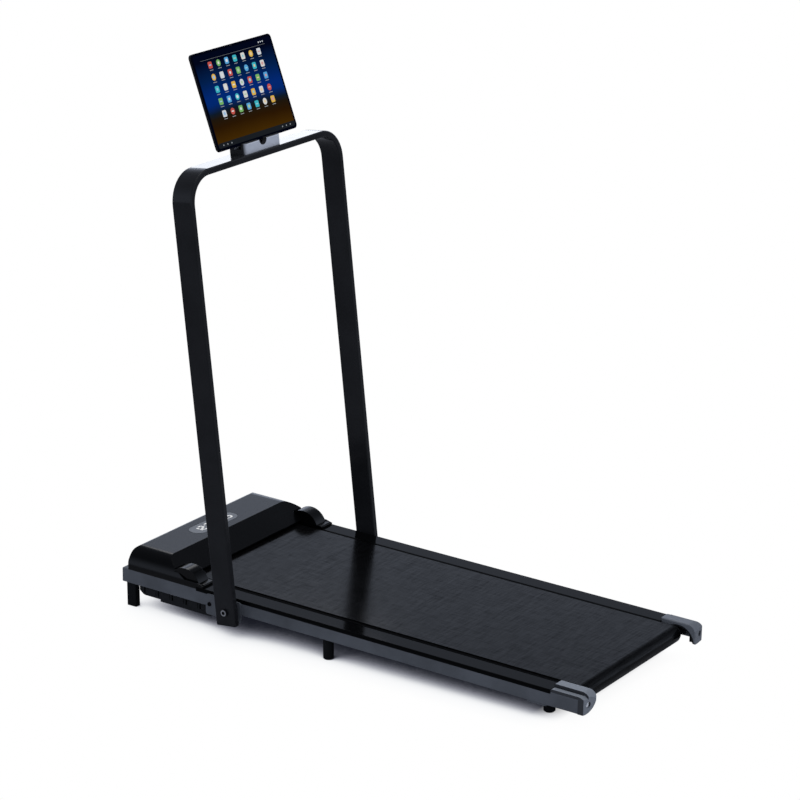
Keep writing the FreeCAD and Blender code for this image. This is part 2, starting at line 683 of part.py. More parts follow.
def tangent_block(front_radius, rear_radius, x):
    """Solid bounded by a belt round the motor pulley and the roller pulley."""
    front = Vector(x[0], MOTOR_PLACE, MOTOR_HEIGHT)
    rear = Vector(x[0], FRONT_ROLLER_PLACE, ROLLER_HEIGHT)
    along = front - rear
    lean = math.acos((rear_radius - front_radius) / along.Length)
    heading = math.atan2(along.z, along.y)
    points = []
    for centre, radius, turn in (
            (rear, rear_radius, lean), (front, front_radius, lean),
            (front, front_radius, -lean), (rear, rear_radius, -lean)):
        angle = heading + turn
        points.append(centre + Vector(0, math.cos(angle), math.sin(angle)) * radius)
    face = Part.Face(Part.makePolygon(points + points[:1]))
    block = face.extrude(Vector(x[1] - x[0], 0, 0))
    return block.fuse([
        rod_x(front_radius, x, MOTOR_PLACE, MOTOR_HEIGHT),
        rod_x(rear_radius, x, FRONT_ROLLER_PLACE, ROLLER_HEIGHT)])


def drive_belt():
    """Ribbed belt from the motor pulley to the roller pulley."""
    x = span_about((PULLEY_LEFT + PULLEY_RIGHT) / 2, DRIVE_BELT_WIDTH)
    inner_motor = MOTOR_PULLEY_RADIUS + BODY_GAP
    inner_roller = ROLLER_PULLEY_RADIUS + BODY_GAP
    outer = tangent_block(inner_motor + DRIVE_BELT_THICKNESS, inner_roller + DRIVE_BELT_THICKNESS, x)
    return outer.cut(tangent_block(inner_motor, inner_roller, x)).removeSplitter()


def motor_tray():
    """Folded sheet hung from the rails, under the motor."""
    edge = RAIL_INNER + TRAY_FLANGE
    inner = RAIL_INNER
    outer = RAIL_INNER + TRAY_WALL
    corners = [
        (-edge, 0, 0), (-edge, -TRAY_WALL, 0), (-outer, -TRAY_WALL, 0), (-outer, -TRAY_DROP, 0),
        (outer, -TRAY_DROP, 0), (outer, -TRAY_WALL, 0), (edge, -TRAY_WALL, 0), (edge, 0, 0),
        (inner, 0, 0), (inner, -TRAY_DROP + TRAY_WALL, 0), (-inner, -TRAY_DROP + TRAY_WALL, 0),
        (-inner, 0, 0)]
    return prism_y(corners, (TRAY_REAR, TRAY_FRONT))


def pan_profile(inset):
    """Side outline of the pan with its stepped floor, drawn in by a wall."""
    floor = -PAN_DROP + inset
    front_floor = floor + PAN_STEP_RISE
    return [
        (PAN_REAR + inset, 0, 0), (PAN_REAR + inset, floor, PAN_NOSE / 2),
        (PAN_STEP - inset, floor, 0), (PAN_STEP - inset, front_floor, 0),
        (PAN_FRONT - PAN_NOSE, front_floor, PAN_NOSE), (PAN_FRONT - inset, -PAN_DROP / 2, 0),
        (PAN_FRONT - inset, 0, 0)]


def motor_pan():
    """Plastic tub below the motor: slots and panels along its sides, screw tabs inside, a front flange."""
    tub = prism_x(pan_profile(0), middle_span(2 * PAN_HALF_WIDTH))
    inner_half = PAN_HALF_WIDTH - PAN_WALL
    hollow = prism_x(pan_profile(PAN_WALL), middle_span(2 * inner_half))
    slots = []
    panels = []
    tabs = []
    through = middle_span(2 * PAN_HALF_WIDTH + 2 * CUT_OVERRUN)
    slot_height = (-PAN_DROP + PAN_STEP_RISE + PAN_SLOT_MARGIN, -PAN_SLOT_MARGIN)
    for index in range(PAN_SLOT_COUNT):
        place = PAN_SLOT_FRONT - index * PAN_SLOT_PITCH
        slots.append(box(through, span_about(place, PAN_SLOT_WIDTH), slot_height))
        panel_place = place - PAN_SLOT_PITCH / 2
        panel = box(
            (PAN_HALF_WIDTH, PAN_HALF_WIDTH + PAN_PANEL_PROUD), span_about(panel_place, PAN_PANEL_WIDTH),
            slot_height)
        panels += [panel, mirrored(panel)]
    for place in pan_screw_places():
        tab = box(
            (PAN_SCREW_SIDE - SCREW_HEAD_RADIUS, inner_half), span_about(place, PAN_TAB_DEPTH),
            (-TRAY_WALL - PAN_WALL, -TRAY_WALL))
        hole = rod_z(SCREW_RADIUS, PAN_SCREW_SIDE, place, (-TRAY_WALL - PAN_WALL, 0))
        tabs += [tab.cut(hole), mirrored(tab.cut(hole))]
    flange = box(
        middle_span(2 * (PAN_HALF_WIDTH - PAN_FLANGE_SIDE_INSET)), (PAN_FRONT - PAN_WALL, FRONT_CROSS_PLACE),
        (-PAN_WALL, 0))
    return tub.cut(hollow).cut(slots).fuse(panels + tabs + [flange]).removeSplitter()


def pan_screw_places():
    """Places along the rail of the screws that hold the pan."""
    return (TRAY_FRONT - PAN_SCREW_INSET, TRAY_REAR + PAN_SCREW_INSET)


def heat_sink():
    """Finned plate that cools the controller."""
    x = (CONTROLLER_LEFT, CONTROLLER_LEFT + CONTROLLER_WIDTH)
    y = span_about((TRAY_FRONT + TRAY_REAR) / 2, CONTROLLER_DEPTH)
    floor = -TRAY_DROP + TRAY_WALL
    pieces = []
    pitch = (CONTROLLER_DEPTH - HEAT_SINK_FIN) / (HEAT_SINK_FIN_COUNT - 1)
    for index in range(HEAT_SINK_FIN_COUNT):
        low = y[0] + index * pitch
        pieces.append(box(x, (low, low + HEAT_SINK_FIN), (floor, floor + HEAT_SINK_HEIGHT)))
    return box(x, y, (floor, floor + HEAT_SINK_BASE)).fuse(pieces).removeSplitter()


def controller_board():
    """Circuit board on the heat sink's fins, with its tall parts."""
    x = (CONTROLLER_LEFT, CONTROLLER_LEFT + CONTROLLER_WIDTH)
    y = span_about((TRAY_FRONT + TRAY_REAR) / 2, CONTROLLER_DEPTH)
    floor = -TRAY_DROP + TRAY_WALL + HEAT_SINK_HEIGHT
    board = box(x, y, (floor, floor + BOARD_THICKNESS))
    cans = []
    for share in CAN_PLACE_SHARES:
        cans.append(rod_z(
            CAN_RADIUS, x[0] + CONTROLLER_WIDTH * share, y[0] + CONTROLLER_DEPTH / 2,
            (floor, floor + HEAT_SINK_HEIGHT)))
    return board.fuse(cans).removeSplitter()


# Hood and covers

def hood_form(inset, reach):
    """Convex form of the hood with every face drawn in, running on by a reach at floor and rear."""
    half = HALF_FRAME - inset
    side_radius = HOOD_SIDE_RADIUS - inset
    front = HOOD_FRONT - inset
    floor = RAIL_HEIGHT - reach
    rear = HOOD_LIP - reach
    top = HOOD_TOP - inset
    side_view = prism_x([
        (rear, floor, 0), (front, floor, 0), (front, top, HOOD_FRONT_RADIUS - inset), (rear, top, 0)],
        middle_span(2 * half))
    end_view = prism_y([
        (-half, floor, 0), (half, floor, 0), (half, top, side_radius), (-half, top, side_radius)],
        (rear, front))
    depth = HOOD_FRONT - HOOD_LIP
    slope_view = box(
        middle_span(2 * HALF_FRAME), (HOOD_LIP - depth, HOOD_FRONT + depth), (floor - depth, top))
    slope_view.rotate(Vector(0, HOOD_BREAK, HOOD_TOP), X_AXIS, HOOD_SLOPE_DEG)
    plan_view = prism_z([
        (-half, rear, 0), (half, rear, 0),
        (half, front, HOOD_CORNER_RADIUS - inset), (-half, front, HOOD_CORNER_RADIUS - inset)],
        (floor, HOOD_TOP + HOOD_WALL))
    return side_view.common(end_view).common(slope_view).common(plan_view)


def hood_tail():
    """Low runner behind the hood's side, outside the arched cover and along the right-hand rail."""
    inner = WING_OUTER + BODY_GAP
    shoulder = RAIL_HEIGHT + HOOD_TAIL_RISE
    meeting = HOOD_BREAK - (HOOD_TOP - shoulder) / math.tan(math.radians(HOOD_SLOPE_DEG))
    side_view = prism_x([
        (HOOD_BREAK, RAIL_HEIGHT, 0), (HOOD_BREAK, HOOD_TOP, 0), (meeting, shoulder, 0),
        (HOOD_TAIL_SHOULDER, shoulder, 0), (HOOD_TAIL_TIP, RAIL_HEIGHT + HOOD_TAIL_TIP_RISE, 0),
        (HOOD_TAIL_TIP, RAIL_HEIGHT, 0)],
        (inner, HALF_FRAME))
    end_view = prism_y([
        (0, RAIL_HEIGHT, 0), (HALF_FRAME, RAIL_HEIGHT, 0), (HALF_FRAME, HOOD_TOP, HOOD_SIDE_RADIUS),
        (0, HOOD_TOP, 0)], (HOOD_TAIL_TIP, HOOD_BREAK))
    strip_room = box(
        (STRIP_INNER, HALF_FRAME), (HOOD_TAIL_TIP, STRIP_FRONT), (RAIL_HEIGHT, STRIP_TOP))
    return side_view.common(end_view).cut(strip_room)


def hood_notch():
    """Room for the right-hand arched cover at the hood's rear corner."""
    return box(
        (STRIP_INNER - BODY_GAP, WING_OUTER + BODY_GAP), (HOOD_LIP - CUT_OVERRUN, HOOD_NOTCH),
        (RAIL_HEIGHT - CUT_OVERRUN, HOOD_TOP + CUT_OVERRUN))


def display_outline():
    """Rounded outline of the display window."""
    return rectangle(middle_span(DISPLAY_WIDTH), span_about(DISPLAY_PLACE, DISPLAY_DEPTH), DISPLAY_RADIUS)


def inlet_block(grow, y):
    """Rounded block of the mains inlet."""
    corners = rectangle(
        span_about(INLET_PLACE, INLET_WIDTH + 2 * grow), span_about(INLET_HEIGHT, INLET_TALL + 2 * grow),
        INLET_WALL)
    return prism_y(corners, y)


def switch_block(y):
    """Block of the switch housing."""
    return box(span_about(SWITCH_PLACE, SWITCH_WIDTH), y, span_about(INLET_HEIGHT, SWITCH_TALL))


def motor_hood():
    """Moulded hood over the motor, open below and towards the belt."""
    shell = hood_form(0, 0).cut(hood_form(HOOD_WALL, CUT_OVERRUN))
    tail = hood_tail()
    notch = hood_notch()
    pocket = prism_z(display_outline(), (HOOD_TOP - DISPLAY_POCKET, HOOD_TOP))
    front_cut = (HOOD_FRONT - HOOD_WALL, HOOD_FRONT)
    hood = shell.cut([notch, mirrored(notch), pocket, inlet_block(0, front_cut), switch_block(front_cut)])
    return hood.fuse([tail, mirrored(tail)]).removeSplitter()


def display_window():
    """Smoked lens in the hood's pocket."""
    return prism_z(display_outline(), (HOOD_TOP - DISPLAY_POCKET, HOOD_TOP))


def display_board():
    """Board with the digits, against the hood's underside."""
    return box(
        middle_span(DISPLAY_BOARD_WIDTH), span_about(DISPLAY_PLACE, DISPLAY_BOARD_DEPTH),
        (HOOD_INNER_TOP - BOARD_THICKNESS, HOOD_INNER_TOP))


def power_inlet():
    """Mains socket with a flange outside the wall and three blades inside."""
    body = inlet_block(0, (HOOD_FRONT - INLET_DEPTH, HOOD_FRONT))
    flange = inlet_block(INLET_FLANGE, (HOOD_FRONT, HOOD_FRONT + INLET_FLANGE_THICKNESS))
    mouth = inlet_block(
        -INLET_WALL, (HOOD_FRONT - INLET_DEPTH + INLET_WALL, HOOD_FRONT + INLET_FLANGE_THICKNESS))
    pins = []
    for share in (-1, 0, 1):
        pins.append(box(
            span_about(INLET_PLACE + share * INLET_PIN_SPREAD, INLET_PIN_THICKNESS),
            (HOOD_FRONT - INLET_DEPTH, HOOD_FRONT + INLET_FLANGE_THICKNESS - INLET_PIN_RECESS),
            span_about(INLET_HEIGHT, INLET_PIN_WIDTH)))
    return body.fuse(flange).cut(mouth).fuse(pins).removeSplitter()


def switch_housing():
    """Frame and body of the power switch."""
    outer = switch_block((HOOD_FRONT - SWITCH_DEPTH, HOOD_FRONT))
    grow = 2 * SWITCH_WALL
    flange = box(
        span_about(SWITCH_PLACE, SWITCH_WIDTH + grow), (HOOD_FRONT, HOOD_FRONT + SWITCH_PROUD),
        span_about(INLET_HEIGHT, SWITCH_TALL + grow))
    well = box(
        span_about(SWITCH_PLACE, SWITCH_WIDTH - grow),
        (HOOD_FRONT - SWITCH_DEPTH + SWITCH_WALL, HOOD_FRONT + SWITCH_PROUD),
        span_about(INLET_HEIGHT, SWITCH_TALL - SWITCH_WALL))
    pivot = rod_x(
        ROCKER_PIN_RADIUS, span_about(SWITCH_PLACE, SWITCH_WIDTH), HOOD_FRONT - ROCKER_DEPTH, INLET_HEIGHT)
    return outer.fuse(flange).cut(well).fuse(pivot).removeSplitter()


def switch_rocker():
    """Rocker that tips on the housing's pin, shown tipped to off."""
    width = SWITCH_WIDTH - 2 * SWITCH_WALL - 2 * BODY_GAP
    half_tall = SWITCH_TALL / 2 - SWITCH_WALL - ROCKER_PLAY
    face = HOOD_FRONT + SWITCH_PROUD
    back = HOOD_FRONT - ROCKER_DEPTH - 2 * ROCKER_PIN_RADIUS
    block = box(
        span_about(SWITCH_PLACE, width), (back, face),
        (INLET_HEIGHT - half_tall, INLET_HEIGHT + half_tall))
    hollow = rod_x(
        ROCKER_RADIUS, span_about(SWITCH_PLACE, width), face + ROCKER_RADIUS - SWITCH_PROUD, INLET_HEIGHT)
    bore = rod_x(
        ROCKER_PIN_RADIUS + SHAFT_GAP, span_about(SWITCH_PLACE, width), HOOD_FRONT - ROCKER_DEPTH,
        INLET_HEIGHT)
    rocker = block.cut(hollow).cut(bore)
    rocker.rotate(Vector(0, HOOD_FRONT - ROCKER_DEPTH, INLET_HEIGHT), X_AXIS, -ROCKER_TILT_DEG)
    return rocker


def wing_form(inset, x):
    """Arched form over the roller's end, from its flange to the hood's notch."""
    arch = rod_x(WING_RADIUS - inset, x, WING_PLACE, WING_HEIGHT)
    keep = box(x, (WING_REAR, HOOD_NOTCH - BODY_GAP), (STRIP_TOP, HOOD_TOP))
    return arch.common(keep)


def wing_cover():
    """Right-hand arched cover with a flange on the foot strip."""
    x = (STRIP_INNER, WING_OUTER)
    flange = prism_x(
        [(WING_REAR, STRIP_TOP, 0), (WING_PLACE, STRIP_TOP, 0), (WING_PLACE, STRIP_TOP + WING_FLANGE, 0),
         (WING_REAR, STRIP_TOP + WING_FLANGE, WING_FLANGE / 2)], x)
    form = wing_form(0, x).fuse(flange).removeSplitter()
    inner_x = (STRIP_INNER + WING_WALL, WING_OUTER - WING_WALL)
    hollow = wing_form(WING_WALL, inner_x)
    return form.cut(hollow)


# Rear end caps

def cap_profile(top):
    """Side outline of the cap: over the rail, round the rear and down to its foot."""
    return [
        (-CAP_FRONT, RAIL_HEIGHT, 0), (-CAP_FRONT, top, CAP_FRONT_RADIUS),
        (-CAP_REAR, top, CAP_REAR_RADIUS), (-CAP_REAR, 0, CAP_FOOT_RADIUS),
        (-RAIL_REAR, 0, 0), (-RAIL_REAR, RAIL_HEIGHT, 0)]


def end_cap(corner_radius, slant):
    """Right-hand cap: raised inner prong, groove, ledge, hollow inner side, slanted rear and a bolt hole."""
    body = prism_x(cap_profile(CAP_LEDGE_TOP), (STRIP_INNER, HALF_FRAME))
    groove = box(
        (STRIP_INNER + CAP_PRONG_WIDTH, HALF_FRAME - CAP_LEDGE_WIDTH), (-CAP_GROOVE_REAR, -CAP_FRONT),
        (CAP_GROOVE_TOP, CAP_LEDGE_TOP))
    prong = prism_x(cap_profile(CAP_PRONG_TOP), (STRIP_INNER, STRIP_INNER + CAP_PRONG_WIDTH))
    plan = prism_z([
        (STRIP_INNER, -CAP_FRONT, CAP_TIP_RADIUS), (STRIP_INNER, -CAP_REAR, CAP_EDGE_RADIUS),
        (HALF_FRAME, -CAP_REAR + slant, CAP_EDGE_RADIUS), (HALF_FRAME, -CAP_FRONT, 0)],
        (0, CAP_PRONG_TOP))
    rear_view = prism_y([
        (STRIP_INNER, 0, corner_radius), (HALF_FRAME, 0, 0), (HALF_FRAME, CAP_PRONG_TOP, 0),
        (STRIP_INNER, CAP_PRONG_TOP, CAP_TOP_RADIUS)], (-CAP_REAR, -CAP_FRONT))
    hollow = rod_x(CAP_HOLLOW_RADIUS, (STRIP_INNER, RAIL_INNER), CAP_HOLLOW_PLACE, 0)
    hole = rod_y(
        TENSION_HEAD_RADIUS + BODY_GAP, HALF_FRAME - TENSION_BOLT_INSET, (-CAP_REAR, -RAIL_REAR),
        ROLLER_HEIGHT)
    solid = body.cut(groove).fuse(prong).common(plan).common(rear_view)
    return solid.cut([hollow, hole]).removeSplitter()


# Handrail pivots

def pivot_bracket():
    """Right-hand plate on the rail that carries the fold pivot."""
    corners = [
        (BRACKET_REAR, -BRACKET_DROP, BRACKET_RADIUS), (BRACKET_FRONT, -BRACKET_DROP, BRACKET_RADIUS),
        (BRACKET_FRONT, RAIL_HEIGHT - RAIL_EDGE_RADIUS, BRACKET_RADIUS),
        (BRACKET_REAR, RAIL_HEIGHT - RAIL_EDGE_RADIUS, BRACKET_RADIUS)]
    plate = prism_x(corners, (HALF_FRAME, BRACKET_OUTER))
    pivot_hole = rod_x(PIVOT_RADIUS, (HALF_FRAME, BRACKET_OUTER), PIVOT_PLACE, PIVOT_HEIGHT)
    screw_hole = rod_x(
        BRACKET_SCREW_RADIUS, (HALF_FRAME, BRACKET_OUTER), BRACKET_SCREW_PLACE, BRACKET_SCREW_HEIGHT)
    return plate.cut(pivot_hole).cut(screw_hole)


def pivot_bushes():
    """Spacers between the brackets and the legs."""
    return both_sides(ring_x(
        BUSH_RADIUS, PIVOT_RADIUS, (BRACKET_OUTER, BUSH_OUTER), PIVOT_PLACE, PIVOT_HEIGHT))


def pivot_bolts():
    """Socket-head bolts that the legs turn on."""
    head_low = HALF_HANDRAIL + BODY_GAP
    head_high = head_low + PIVOT_HEAD_LENGTH
    shank = rod_x(PIVOT_RADIUS, (WEB_INNER - PIVOT_NUT_LENGTH, head_low), PIVOT_PLACE, PIVOT_HEIGHT)
    head = rod_x(PIVOT_HEAD_RADIUS, (head_low, head_high), PIVOT_PLACE, PIVOT_HEIGHT)
    socket = rod_x(SOCKET_RADIUS, (head_high - SOCKET_DEPTH, head_high), PIVOT_PLACE, PIVOT_HEIGHT)
    return both_sides(shank.fuse(head).cut(socket).removeSplitter())


def pivot_nuts():
    """Nuts inside the rails."""
    points = []
    for index in range(6):
        angle = math.radians(60 * index)
        points.append((
            PIVOT_PLACE + PIVOT_NUT_RADIUS * math.cos(angle),
            PIVOT_HEIGHT + PIVOT_NUT_RADIUS * math.sin(angle), 0))
    nut = prism_x(points, (WEB_INNER - PIVOT_NUT_LENGTH, WEB_INNER))
    bore = rod_x(PIVOT_RADIUS, (WEB_INNER - PIVOT_NUT_LENGTH, WEB_INNER), PIVOT_PLACE, PIVOT_HEIGHT)
    return both_sides(nut.cut(bore))


def bracket_screws():
    """Screws that fix the brackets to the rails."""
    high = BRACKET_OUTER + BRACKET_SCREW_PROUD
    shank = rod_x(BRACKET_SCREW_RADIUS, (WEB_INNER, BRACKET_OUTER), BRACKET_SCREW_PLACE, BRACKET_SCREW_HEIGHT)
    head = rod_x(BRACKET_SCREW_HEAD, (BRACKET_OUTER, high), BRACKET_SCREW_PLACE, BRACKET_SCREW_HEIGHT)
    socket = rod_x(
        BRACKET_SCREW_RADIUS, (high - BRACKET_SCREW_SOCKET, high), BRACKET_SCREW_PLACE, BRACKET_SCREW_HEIGHT)
    return both_sides(shank.fuse(head).removeSplitter().cut(socket))


# Handrail, in its own frame

def tube_section(inset):
    """Section of the flat tube at the foot of the right-hand leg."""
    corners = rectangle(
        span_about(LEG_MIDDLE, TUBE_THICKNESS - 2 * inset), middle_span(TUBE_DEPTH - 2 * inset),
        TUBE_EDGE_RADIUS - inset)
    return outline(corners, lambda p: Vector(p.x, p.y, -LEG_BELOW_PIVOT))


def handrail_path():
    """Middle line of the tube: up one leg, across the bar and down the other."""
    bar = HANDRAIL_TOP - TUBE_THICKNESS / 2
    bend = TUBE_BEND_RADIUS
    corner = bend * (1 - math.sqrt(0.5))
    foot = Vector(LEG_MIDDLE, 0, -LEG_BELOW_PIVOT)
    start = Vector(LEG_MIDDLE, 0, bar - bend)
    middle = Vector(LEG_MIDDLE - corner, 0, bar - corner)
    end = Vector(LEG_MIDDLE - bend, 0, bar)

    def across(point):
        return Vector(-point.x, 0, point.z)

    return Part.Wire([
        Part.LineSegment(foot, start).toShape(), Part.Arc(start, middle, end).toShape(),
        Part.LineSegment(end, across(end)).toShape(),
        Part.Arc(across(end), across(middle), across(start)).toShape(),
        Part.LineSegment(across(start), across(foot)).toShape()])


def handrail_tube():
    """Bent flat tube with holes for the pivot bolts."""
    path = handrail_path()
    outer = path.makePipeShell([tube_section(0)], True, False)
    inner = path.makePipeShell([tube_section(TUBE_WALL)], True, False)
    bore = rod_x(PIVOT_RADIUS + SHAFT_GAP, (LEG_INNER, HALF_HANDRAIL), 0, 0)
    screw_holes = [
        rod_z(HOLDER_SCREW_RADIUS, side, 0, (HANDRAIL_TOP - TUBE_THICKNESS, HANDRAIL_TOP))
        for side in (-HOLDER_SCREW_SPREAD / 2, HOLDER_SCREW_SPREAD / 2)]
    return outer.cut(inner).cut([bore, mirrored(bore)] + screw_holes)


def leg_plugs():
    """Plastic plugs that close the legs' lower ends."""
    low = -LEG_BELOW_PIVOT - PLUG_THICKNESS
    foot = prism_z(
        rectangle(span_about(LEG_MIDDLE, TUBE_THICKNESS), middle_span(TUBE_DEPTH), TUBE_EDGE_RADIUS),
        (low, -LEG_BELOW_PIVOT))
    inner = 2 * TUBE_WALL
    stem = prism_z(
        rectangle(
            span_about(LEG_MIDDLE, TUBE_THICKNESS - inner), middle_span(TUBE_DEPTH - inner),
            TUBE_EDGE_RADIUS - TUBE_WALL),
        (-LEG_BELOW_PIVOT, -LEG_BELOW_PIVOT + PLUG_DEPTH))
    return both_sides(foot.fuse(stem).removeSplitter())


def tilted(shape):
    """A shape drawn upright over the holder's floor, tipped forward with the tablet."""
    shape.rotate(Vector(0, TABLET_PLACE, HANDRAIL_TOP + HOLDER_FLOOR), X_AXIS, -TABLET_TILT_DEG)
    return shape


def tablet_block(y, grow):
    """Rounded upright slab over the holder's floor."""
    floor = HANDRAIL_TOP + HOLDER_FLOOR
    corners = rectangle(
        middle_span(TABLET_WIDTH + 2 * grow), (floor - grow, floor + TABLET_HEIGHT + grow), TABLET_RADIUS)
    return prism_y(corners, y)


def holder_channel():
    """Open channel below the tablet, with a rib left at each screw."""
    y = (TABLET_PLACE, HOLDER_CHANNEL_FRONT)
    z = (HANDRAIL_TOP + HOLDER_CHANNEL_FLOOR, HANDRAIL_TOP + HOLDER_LIP)
    channel = box(middle_span(HOLDER_WIDTH), y, z)
    ribs = [
        box(span_about(side, HOLDER_RIB_WIDTH), y, z)
        for side in (-HOLDER_SCREW_SPREAD / 2, HOLDER_SCREW_SPREAD / 2)]
    return channel.cut(ribs)


def device_holder():
    """Block on the bar with a tilted slot, a channel below it and a thumb notch in its lip."""
    base = HANDRAIL_TOP
    lip = base + HOLDER_LIP
    back = base + HOLDER_BACK
    edge = HOLDER_EDGE_RADIUS
    half = HOLDER_WIDTH / 2
    corners = [
        (HOLDER_REAR, base, 0), (HOLDER_FRONT, base, 0), (HOLDER_FRONT, back, edge),
        (HOLDER_BACK_PLACE, back, edge), (HOLDER_BACK_PLACE, lip, 0), (HOLDER_REAR, lip, edge)]
    plan = prism_z([
        (-half, HOLDER_REAR, HOLDER_CORNER_RADIUS), (half, HOLDER_REAR, HOLDER_CORNER_RADIUS),
        (half, HOLDER_FRONT, 0), (-half, HOLDER_FRONT, 0)], (base, back))
    block = prism_x(corners, middle_span(HOLDER_WIDTH)).common(plan)
    floor = base + HOLDER_FLOOR
    slot = tilted(box(
        middle_span(HOLDER_WIDTH),
        (TABLET_PLACE - TABLET_GAP, TABLET_PLACE + TABLET_THICKNESS + TABLET_GAP),
        (floor, floor + TABLET_HEIGHT)))
    notch = rod_y(HOLDER_NOTCH_RADIUS, 0, (HOLDER_REAR, TABLET_PLACE), lip)
    screws = [
        rod_z(HOLDER_SCREW_RADIUS, side, 0, (base, base + HOLDER_FLOOR / 2))
        for side in (-HOLDER_SCREW_SPREAD / 2, HOLDER_SCREW_SPREAD / 2)]
    return block.cut([slot, notch, holder_channel()] + screws).removeSplitter()


def holder_screws():
    """Screws up through the bar into the holder."""
    under = HANDRAIL_TOP - TUBE_THICKNESS
    screws = []
    for side in (-HOLDER_SCREW_SPREAD / 2, HOLDER_SCREW_SPREAD / 2):
        shank = rod_z(HOLDER_SCREW_RADIUS, side, 0, (under, HANDRAIL_TOP + HOLDER_FLOOR / 2))
        head = rod_z(HOLDER_SCREW_HEAD, side, 0, (under - HOLDER_SCREW_HEAD_LENGTH, under))
        screws.append(shank.fuse(head).removeSplitter())
    return Part.makeCompound(screws)


def tablet_case():
    """Tablet's back shell."""
    return tilted(tablet_block((TABLET_PLACE + TABLET_GLASS, TABLET_PLACE + TABLET_THICKNESS), 0))


def tablet_glass():
    """Tablet's front glass, a little smaller than the shell."""
    return tilted(tablet_block((TABLET_PLACE, TABLET_PLACE + TABLET_GLASS), -TABLET_GLASS / 2))


# Feet, which stand upright on the floor

def above_deck(drop):
    """Everything above a plane of the deck, to trim the feet's tops."""
    reach = RAIL_FRONT + RAIL_REAR
    block = box((-reach, reach), (-reach, reach), (-drop, reach))
    block.Placement = INCLINE
    return block


def floor_place(place):
    """Place along the floor below a place along the rails."""
    return place * math.cos(math.radians(DECK_INCLINE_DEG)) + DECK_SHIFT


def front_foot():
    """Right-hand post under the front of the rail."""
    x = (FRONT_FOOT_OUTER - FRONT_FOOT_WIDTH, FRONT_FOOT_OUTER)
    y = span_about(floor_place(FRONT_FOOT_PLACE), FRONT_FOOT_DEPTH)
    post = prism_z(rectangle(x, y, FRONT_FOOT_RADIUS), (0, RAIL_LIFT + RAIL_HEIGHT))
    return post.cut(above_deck(0))


def round_foot(radius, side, place, drop):
    """Round rubber foot with a bevelled tread."""
    y = floor_place(place)
    tread = Part.makeCone(radius - FOOT_CHAMFER, radius, FOOT_CHAMFER, Vector(side, y, 0))
    stem = rod_z(radius, side, y, (FOOT_CHAMFER, RAIL_LIFT + RAIL_HEIGHT))
    return tread.fuse(stem).removeSplitter().cut(above_deck(drop))


def rear_foot_plate():
    """Plate under the right-hand rail that reaches in below the belt."""
    return prism_z(
        rectangle(
            (FOOT_PLATE_INNER, WEB_INNER), span_about(REAR_CROSS_PLACE, FOOT_PLATE_DEPTH),
            FOOT_PLATE_THICKNESS),
        (-FOOT_PLATE_THICKNESS, 0))


def pan_screws():
    """Screws that hold the pan's tabs to the tray and the rails."""
    screws = []
    top = -TRAY_WALL - PAN_WALL
    for place in pan_screw_places():
        shank = rod_z(SCREW_RADIUS, PAN_SCREW_SIDE, place, (top, -TRAY_WALL))
        head = rod_z(SCREW_HEAD_RADIUS, PAN_SCREW_SIDE, place, (top - SCREW_HEAD_LENGTH, top))
        screw = shank.fuse(head).removeSplitter()
        screws += [screw, mirrored(screw)]
    return Part.makeCompound(screws)


# Assembly

def pair(name, shape):
    """The left and right pieces of a mirrored pair, by name."""
    return {name + "_left": mirrored(shape), name + "_right": shape}


def deck_pieces():
    """Every piece drawn in the deck frame."""
    pieces = {
        "front_cross_member": front_cross_member(),
        "bay_cross_member": cross_member(BAY_CROSS_PLACE),
        "mid_cross_member": cross_member(MID_CROSS_PLACE),
        "rear_cross_member": cross_member(REAR_CROSS_PLACE),
        "deck_board": deck_board(),
        "deck_cushions": deck_cushions(),
        "walking_belt": walking_belt(),
        "front_roller": roller(FRONT_ROLLER_PLACE),
        "front_roller_axle": roller_axle(FRONT_ROLLER_PLACE),
        "front_roller_bearings": roller_bearings(FRONT_ROLLER_PLACE),
        "front_axle_blocks": both_sides(axle_block(FRONT_ROLLER_PLACE)),
        "roller_pulley": roller_pulley(),
        "rear_roller": roller(REAR_ROLLER_PLACE),
        "rear_roller_axle": roller_axle(REAR_ROLLER_PLACE),
        "rear_roller_bearings": roller_bearings(REAR_ROLLER_PLACE),
        "tension_blocks": tension_blocks(),
        "tension_bolts": tension_bolts(),
        "motor_body": motor_body(),
        "motor_saddles": motor_saddles(),
        "motor_shaft": motor_shaft(),
        "motor_pulley": motor_pulley(),
        "flywheel": flywheel(),
        "drive_belt": drive_belt(),
        "motor_tray": motor_tray(),
        "motor_pan": motor_pan(),
        "pan_screws": pan_screws(),
        "heat_sink": heat_sink(),
        "controller_board": controller_board(),
        "motor_hood": motor_hood(),
        "display_window": display_window(),
        "display_board": display_board(),
        "power_inlet": power_inlet(),
        "switch_housing": switch_housing(),
        "switch_rocker": switch_rocker(),
        "rear_foot_plates": both_sides(rear_foot_plate()),
        "pivot_brackets": both_sides(pivot_bracket()),
        "pivot_bushes": pivot_bushes(),
        "pivot_bolts": pivot_bolts(),
        "pivot_nuts": pivot_nuts(),
        "bracket_screws": bracket_screws(),
    }
    pieces.update(pair("side_rail", side_rail()))
    pieces.update(pair("foot_strip", foot_strip()))
    pieces.update(pair("wing_cover", wing_cover()))
    pieces["end_cap_left"] = mirrored(end_cap(LEFT_CAP_CORNER_RADIUS, LEFT_CAP_SLANT))
    pieces["end_cap_right"] = end_cap(RIGHT_CAP_CORNER_RADIUS, RIGHT_CAP_SLANT)
    return pieces


def handrail_pieces():
    """Every piece drawn in the handrail frame."""
    return {
        "handrail_tube": handrail_tube(),
        "leg_plugs": leg_plugs(),
        "device_holder": device_holder(),
        "holder_screws": holder_screws(),
        "tablet_case": tablet_case(),
        "tablet_glass": tablet_glass(),
    }


